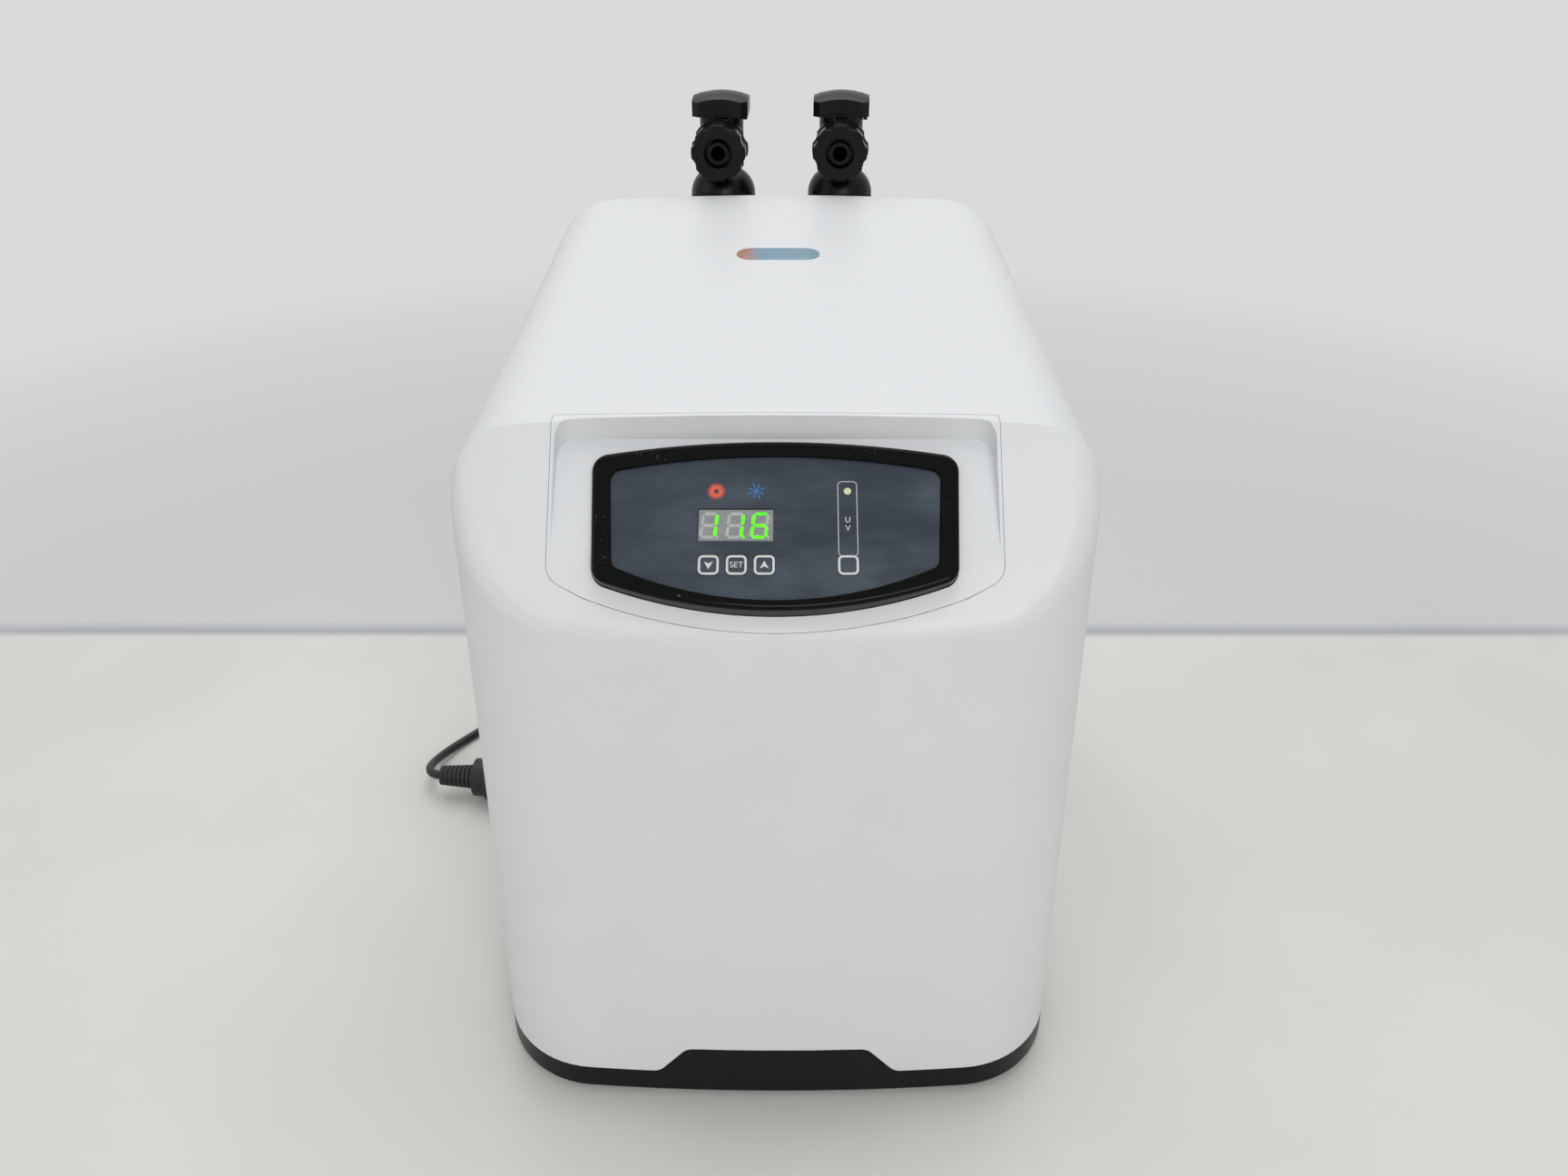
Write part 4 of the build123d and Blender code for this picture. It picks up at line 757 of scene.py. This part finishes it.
def makeCord():
    route = np.concatenate([cordLook["tail"], coilPoints(), cordLook["lead"]])
    curve = bpy.data.curves.new("mainsCord", "CURVE")
    curve.dimensions = "3D"
    spline = curve.splines.new("NURBS")
    spline.points.add(len(route) - 1)
    spline.points.foreach_set("co", np.c_[fromPart(route), np.ones(len(route))].ravel())
    spline.order_u = 3
    spline.use_endpoint_u = True
    spline.resolution_u = 6
    curve.bevel_depth = cordLook["diameter"] / 2
    curve.bevel_resolution = 5
    curve.use_fill_caps = True
    curve.materials.append(finishes["cord_black"])
    piece = addPiece("mainsCord", curve, "cabinet")
    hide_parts("cord_tail", "cord_coil", "cord_lead")


makeCord()
print("cord laid")

# The display: printed signs, digits and key marks, each a thin layer with its own edge. Each "x" and "down"
# is a sign's middle.

signs = {
    "sun": {"x": -29.6, "down": -30.1, "outer": 4.9, "inner": 2.7, "hole": 1.15, "rays": 18, "perRay": 4},
    "flake": {
        "x": -9.5,
        "down": -30.3,
        "radius": 4.8,
        "arms": 8,
        "shortArm": 0.86,  # of the radius, for every other arm
        "stroke": 0.42,
        "hub": 0.35,  # where the arms start
        "branchPlace": 0.6,  # along its arm
        "branchLength": 0.8,
        "branchAngle": 0.8,  # radians from its arm
        "branchStroke": 0.7,  # of an arm's stroke
        "middle": 0.75,  # radius of the disc over the arms' start
        "step": 0.0015,  # from one stroke's top to the next one's, so that no two share a plane
    },
    "lamp": {"x": 36.1, "down": -30.2, "radius": 1.85, "lift": 0.1},
    "frame": {"x": 36.0, "down": -15.35, "width": 9.8, "height": 40.7, "corner": 2.2, "stroke": 0.35},
    "letters": [("U", 36.0, -14.5), ("V", 36.0, -10.0)],
    "letterHeight": 3.0,
}


def sunShape(lift):
    # the radius goes up and down like a saw round the middle, with a round hole inside
    sun = signs["sun"]
    around = np.linspace(0, 2 * np.pi, sun["rays"] * sun["perRay"], endpoint=False)
    saw = np.abs((around * sun["rays"] / (2 * np.pi)) % 1 - 0.5) * 2
    radius = sun["inner"] + (sun["outer"] - sun["inner"]) * saw
    rays = np.stack([sun["x"] + radius * np.cos(around), sun["down"] + radius * np.sin(around)], axis=1)
    return printRing(rays, circle(sun["x"], sun["down"], sun["hole"], len(around)), lift)


def flakeShape(lift):
    # arms from a hub, every other one shorter, each with a pair of branches
    flake = signs["flake"]
    middle = np.array([flake["x"], flake["down"]])
    strokes = []
    for arm in range(flake["arms"]):
        turn = 2 * math.pi * (arm + 0.5) / flake["arms"]
        reach = flake["radius"] * (1.0 if arm % 2 else flake["shortArm"])
        out = np.array([math.cos(turn), math.sin(turn)])
        strokes.append(bar(middle + flake["hub"] * out, middle + reach * out, flake["stroke"]))
        knee = middle + flake["branchPlace"] * reach * out
        for side in (-1, 1):
            aside = turn + side * flake["branchAngle"]
            branch = flake["branchLength"] * np.array([math.cos(aside), math.sin(aside)])
            strokes.append(bar(knee, knee + branch, flake["stroke"] * flake["branchStroke"]))
    strokes.append(circle(flake["x"], flake["down"], flake["middle"], count=16))
    return joined([printDisc(line, lift + flake["step"] * place) for place, line in enumerate(strokes)])


def makeSigns():
    lift = part["windowLift"] + part["inkLift"]
    printedPiece("signSun", *sunShape(lift), "cabinet", redInk)
    printedPiece("signSnowflake", *flakeShape(lift), "cabinet", blueInk)
    lamp = signs["lamp"]
    bulb = circle(lamp["x"], lamp["down"], lamp["radius"])
    printedPiece("signLamp", *printDisc(bulb, lift + lamp["lift"]), "cabinet", lampInk)
    printedPiece("signFrame", *squareRing(**signs["frame"], lift=lift), "cabinet", whiteInk)


lettering = {
    "size": 1.4,  # the font's size for a capital's height of 1
    "extrude": 0.05,
}


def makeWords(name, words, x, down, height, lift, body):
    # plain letters, made a mesh, then laid on the display's slope
    text = bpy.data.curves.new(name, "FONT")
    text.body = words
    text.size = height * lettering["size"]
    text.align_x = "CENTER"
    text.align_y = "CENTER"
    text.extrude = lettering["extrude"]
    holder = bpy.data.objects.new(name, text)
    bpy.context.scene.collection.objects.link(holder)
    bpy.context.view_layer.update()
    mesh = bpy.data.meshes.new_from_object(holder.evaluated_get(bpy.context.evaluated_depsgraph_get()))
    bpy.data.objects.remove(holder)
    co = np.zeros(len(mesh.vertices) * 3)
    mesh.vertices.foreach_get("co", co)
    across, up, out = co.reshape(-1, 3).T
    laid = onDisplay(x + across, down - up, lift - lettering["extrude"] + out)
    mesh.vertices.foreach_set("co", laid.ravel())
    mesh.materials.clear()
    mesh.materials.append(whiteInk)
    addPiece(name, mesh, body)


keyMarks = {
    "places": {"key_down": -32.7, "key_set": -19.0, "key_up": -5.3, "key_uv": 35.9},
    "down": 9.7,
    "side": 10.25,
    "corner": 2.6,
    "stroke": 1.15,
    "arrow": 2.15,  # from its middle to its tip
    "arrowOutline": [(0, 1), (-1.05, -0.95), (0, -0.42), (1.05, -0.95)],  # with its tip at 1
    "arrowShift": 0.15,  # towards its tip
    "wordHeight": 3.1,
}


def makeKeyMarks():
    lift = part["keyLift"] + part["inkLift"]
    down, side = keyMarks["down"], keyMarks["side"]
    for key, x in keyMarks["places"].items():
        rim = squareRing(x, down, side, side, keyMarks["corner"], keyMarks["stroke"], lift)
        printedPiece(key + "_rim", *rim, key, whiteInk)
    for key, way in (("key_down", 1), ("key_up", -1)):
        arrow = np.array(keyMarks["arrowOutline"]) * keyMarks["arrow"] * [1, way]
        middle = [keyMarks["places"][key], down + keyMarks["arrowShift"] * way]
        printedPiece(key + "_arrow", *printDisc(arrow + middle, lift), key, whiteInk)
    x = keyMarks["places"]["key_set"]
    makeWords("key_set_word", "SET", x, down, keyMarks["wordHeight"], lift, "key_set")


digits = {
    "places": (-32.9, -19.9, -7.7),
    "down": -11.6,
    "height": 12.6,
    "width": 7.0,
    "stroke": 1.7,
    "gap": 0.28,  # from a segment's tip to the corner where it would meet the next
    "slant": 0.1,  # how far each digit leans for its height
    "dotAway": 1.2,
    "dotRadius": 0.85,
    "lit": ("bc", "bc.", "acdefg"),
    "lift": 0.05,
}


def segmentLine(start, end):
    # a bar with a pointed tip at each end, drawn upright and then leant
    start, end = np.array(start, float), np.array(end, float)
    along = (end - start) / np.linalg.norm(end - start)
    start, end = start + along * digits["gap"], end - along * digits["gap"]
    half = digits["stroke"] / 2
    rise = (along + [-along[1], along[0]]) * half
    fall = (along - [-along[1], along[0]]) * half
    line = np.array([start, start + rise, end - fall, end, end - rise, start + fall])
    line[:, 0] += line[:, 1] * digits["slant"]
    return line


def makeDigits():
    half, tall = digits["width"] / 2, digits["height"] / 2
    ends = {
        "a": ((-half, tall), (half, tall)),
        "b": ((half, tall), (half, 0)),
        "c": ((half, 0), (half, -tall)),
        "d": ((-half, -tall), (half, -tall)),
        "e": ((-half, 0), (-half, -tall)),
        "f": ((-half, tall), (-half, 0)),
        "g": ((-half, 0), (half, 0)),
    }
    lift = part["ledLift"] + digits["lift"]
    found = {True: [], False: []}
    for x, lit in zip(digits["places"], digits["lit"]):
        for letter, (start, end) in ends.items():
            line = segmentLine(start, end) * [1, -1] + [x, digits["down"]]
            found[letter in lit].append(printDisc(line, lift))
        dotX = x + half + digits["dotAway"] - tall * digits["slant"]
        dot = circle(dotX, digits["down"] + tall, digits["dotRadius"], count=16)
        found["." in lit].append(printDisc(dot, lift))
    printedPiece("digitsLit", *joined(found[True]), "cabinet", segmentLit, "led_grey")
    printedPiece("digitsDark", *joined(found[False]), "cabinet", segmentDark, "led_grey")


makeSigns()
makeKeyMarks()
for number, (word, x, down) in enumerate(signs["letters"]):
    lift = part["windowLift"] + part["inkLift"]
    makeWords("signLetter%d" % number, word, x, down, signs["letterHeight"], lift, "cabinet")
makeDigits()
print("display printed")

# Floor, lights and camera

stageLook = {
    "colour": "#E9E7E3",
    "second": "#E2E0DB",
    "roughness": 0.55,
    "marks": {**seeded, "Scale": metre / 180, "Detail": 5, "W": 2},
    "markShare": {"From Min": 0.35, "From Max": 0.8},
    "gap": "#AEB1B6",  # painted shade along the table's far edge, a darker strip standing in for the shadow in the gap there
    "beyond": "#D9DADA",  # the wall, and all that is seen far off
    "edge": {"From Min": 0.262, "From Max": 0.274},  # where the table ends, behind the taps
    "paintedShadeEnd": {"From Min": 0.272, "From Max": 0.292},  # where the painted shade turns to the wall's tone
    "away": {"From Min": 0.75, "From Max": 1.7},  # metres over which the floor fades into its plain tone
    "size": 40.0,
}


def seenRays(tree):
    # 1 for the rays that a viewer sees, straight, in a gloss or through glass
    path = addNode(tree, "ShaderNodeLightPath", output=None).outputs
    gloss = {0: path["Is Camera Ray"], 1: path["Is Glossy Ray"]}
    seen = addNode(tree, "ShaderNodeMath", {"operation": "MAXIMUM"}, gloss)
    glass = {0: seen, 1: path["Is Transmission Ray"]}
    return addNode(tree, "ShaderNodeMath", {"operation": "MAXIMUM"}, glass)


def floorPaint():
    # a painted board: matt, with faint wiped marks, and beyond its far edge a strip of painted shade that
    # turns to the wall's plain tone
    look = stageLook
    material, tree, shader, place = newMaterial("floorPaint", look)
    marks = addNode(tree, "ShaderNodeTexNoise", look["marks"], {"Vector": place})
    markShare = addNode(tree, "ShaderNodeMapRange", look["markShare"], {"Value": marks})
    pair = tones(look["colour"], look["second"])
    near = addNode(tree, "ShaderNodeMix", pair, {"Factor": markShare}, colourResult)
    depth = addNode(tree, "ShaderNodeSeparateXYZ", None, {"Vector": place}, "Y")
    paintedShadeEnd = addNode(tree, "ShaderNodeMapRange", look["paintedShadeEnd"], {"Value": depth})
    # painted shade: just past the table's far edge a darker grey stands in for the shadow in the gap, then
    # fades to the wall's tone
    pair = tones(look["gap"], look["beyond"])
    paintedShadeAndWall = addNode(tree, "ShaderNodeMix", pair, {"Factor": paintedShadeEnd}, colourResult)
    edge = addNode(tree, "ShaderNodeMapRange", look["edge"], {"Value": depth})
    both = {"Factor": edge, colourA: near, colourB: paintedShadeAndWall}
    tone = addNode(tree, "ShaderNodeMix", {"data_type": "RGBA"}, both, colourResult)
    feed(tree, shader, {"Base Color": tone})
    # far from the object the floor is seen as one plain tone, whatever light falls there
    reach = addNode(tree, "ShaderNodeVectorMath", {"operation": "LENGTH"}, {"Vector": place}, "Value")
    away = addNode(tree, "ShaderNodeMapRange", look["away"], {"Value": reach})
    share = addNode(tree, "ShaderNodeMath", {"operation": "MULTIPLY"}, {0: away, 1: seenRays(tree)})
    plain = addNode(tree, "ShaderNodeEmission", {"Color": linear(look["beyond"])})
    shown = addNode(tree, "ShaderNodeMixShader", None, {"Fac": share, 1: shader.outputs[0], 2: plain})
    feed(tree, tree.nodes["Material Output"], {"Surface": shown})
    return material


def makeFloor():
    size = stageLook["size"]
    verts = [(-size, -size, 0), (size, -size, 0), (size, size, 0), (-size, size, 0)]
    mesh = bpy.data.meshes.new("floor")
    mesh.from_pydata(verts, [], [(0, 1, 2, 3)])
    mesh.materials.append(floorPaint())
    floor = bpy.data.objects.new("floor", mesh)
    bpy.context.scene.collection.objects.link(floor)


lampLook = {
    "overhead": {"place": (0.1, 0.75, 2.2), "aim": (0.0, 0.0, 0.2), "size": 2.0, "power": 24.0},
    "front": {"place": (0.5, -2.7, 1.9), "aim": (0.0, -0.8, 0.0), "size": 1.8, "power": 34.0},
    "left": {"place": (-2.2, -0.6, 1.5), "aim": (0.0, -0.2, 0.2), "size": 1.6, "power": 5.0},
}
roomLook = {
    "colour": "#F4F5F6",
    "strength": {"From Min": 0, "From Max": 1, "To Min": 0.36, "To Max": 1},  # as light, and as it is seen
}


def makeLights():
    for name, look in lampLook.items():
        lamp = bpy.data.lights.new(name, "AREA")
        lamp.energy = look["power"]
        lamp.size = look["size"]
        holder = bpy.data.objects.new(name, lamp)
        aim = np.array(look["aim"]) - np.array(look["place"])
        flat = math.hypot(aim[0], aim[1])
        holder.location = look["place"]
        holder.rotation_euler = Euler((math.atan2(flat, -aim[2]), 0, math.atan2(-aim[0], aim[1])))
        bpy.context.scene.collection.objects.link(holder)
    world = bpy.data.worlds.new("room")
    bpy.context.scene.world = world
    world.use_nodes = True
    tree = world.node_tree
    seen = seenRays(tree)
    pair = tones(roomLook["colour"], stageLook["beyond"])
    tone = addNode(tree, "ShaderNodeMix", pair, {"Factor": seen}, colourResult)
    strength = addNode(tree, "ShaderNodeMapRange", roomLook["strength"], {"Value": seen})
    feed(tree, tree.nodes["Background"], {"Color": tone, "Strength": strength})


cameraLook = {
    "place": (0.005, -0.74335, 0.6475),
    "pitch": 0.53,  # radians below the horizon
    "yaw": 0.075,  # degrees to the left
    "lens": 27.04,
    "sensor": 36.0,
    "nearest": 0.01,
}


def makeCamera():
    camera = bpy.data.cameras.new("camera")
    camera.sensor_width = cameraLook["sensor"]
    camera.sensor_fit = "HORIZONTAL"
    camera.lens = cameraLook["lens"]
    camera.clip_start = cameraLook["nearest"]
    holder = bpy.data.objects.new("camera", camera)
    holder.location = cameraLook["place"]
    holder.rotation_euler = Euler((math.pi / 2 - cameraLook["pitch"], 0, math.radians(cameraLook["yaw"])))
    bpy.context.scene.collection.objects.link(holder)
    bpy.context.scene.camera = holder


makeFloor()
makeLights()
makeCamera()
bpy.context.scene.view_settings.view_transform = "Standard"
print("stage set")
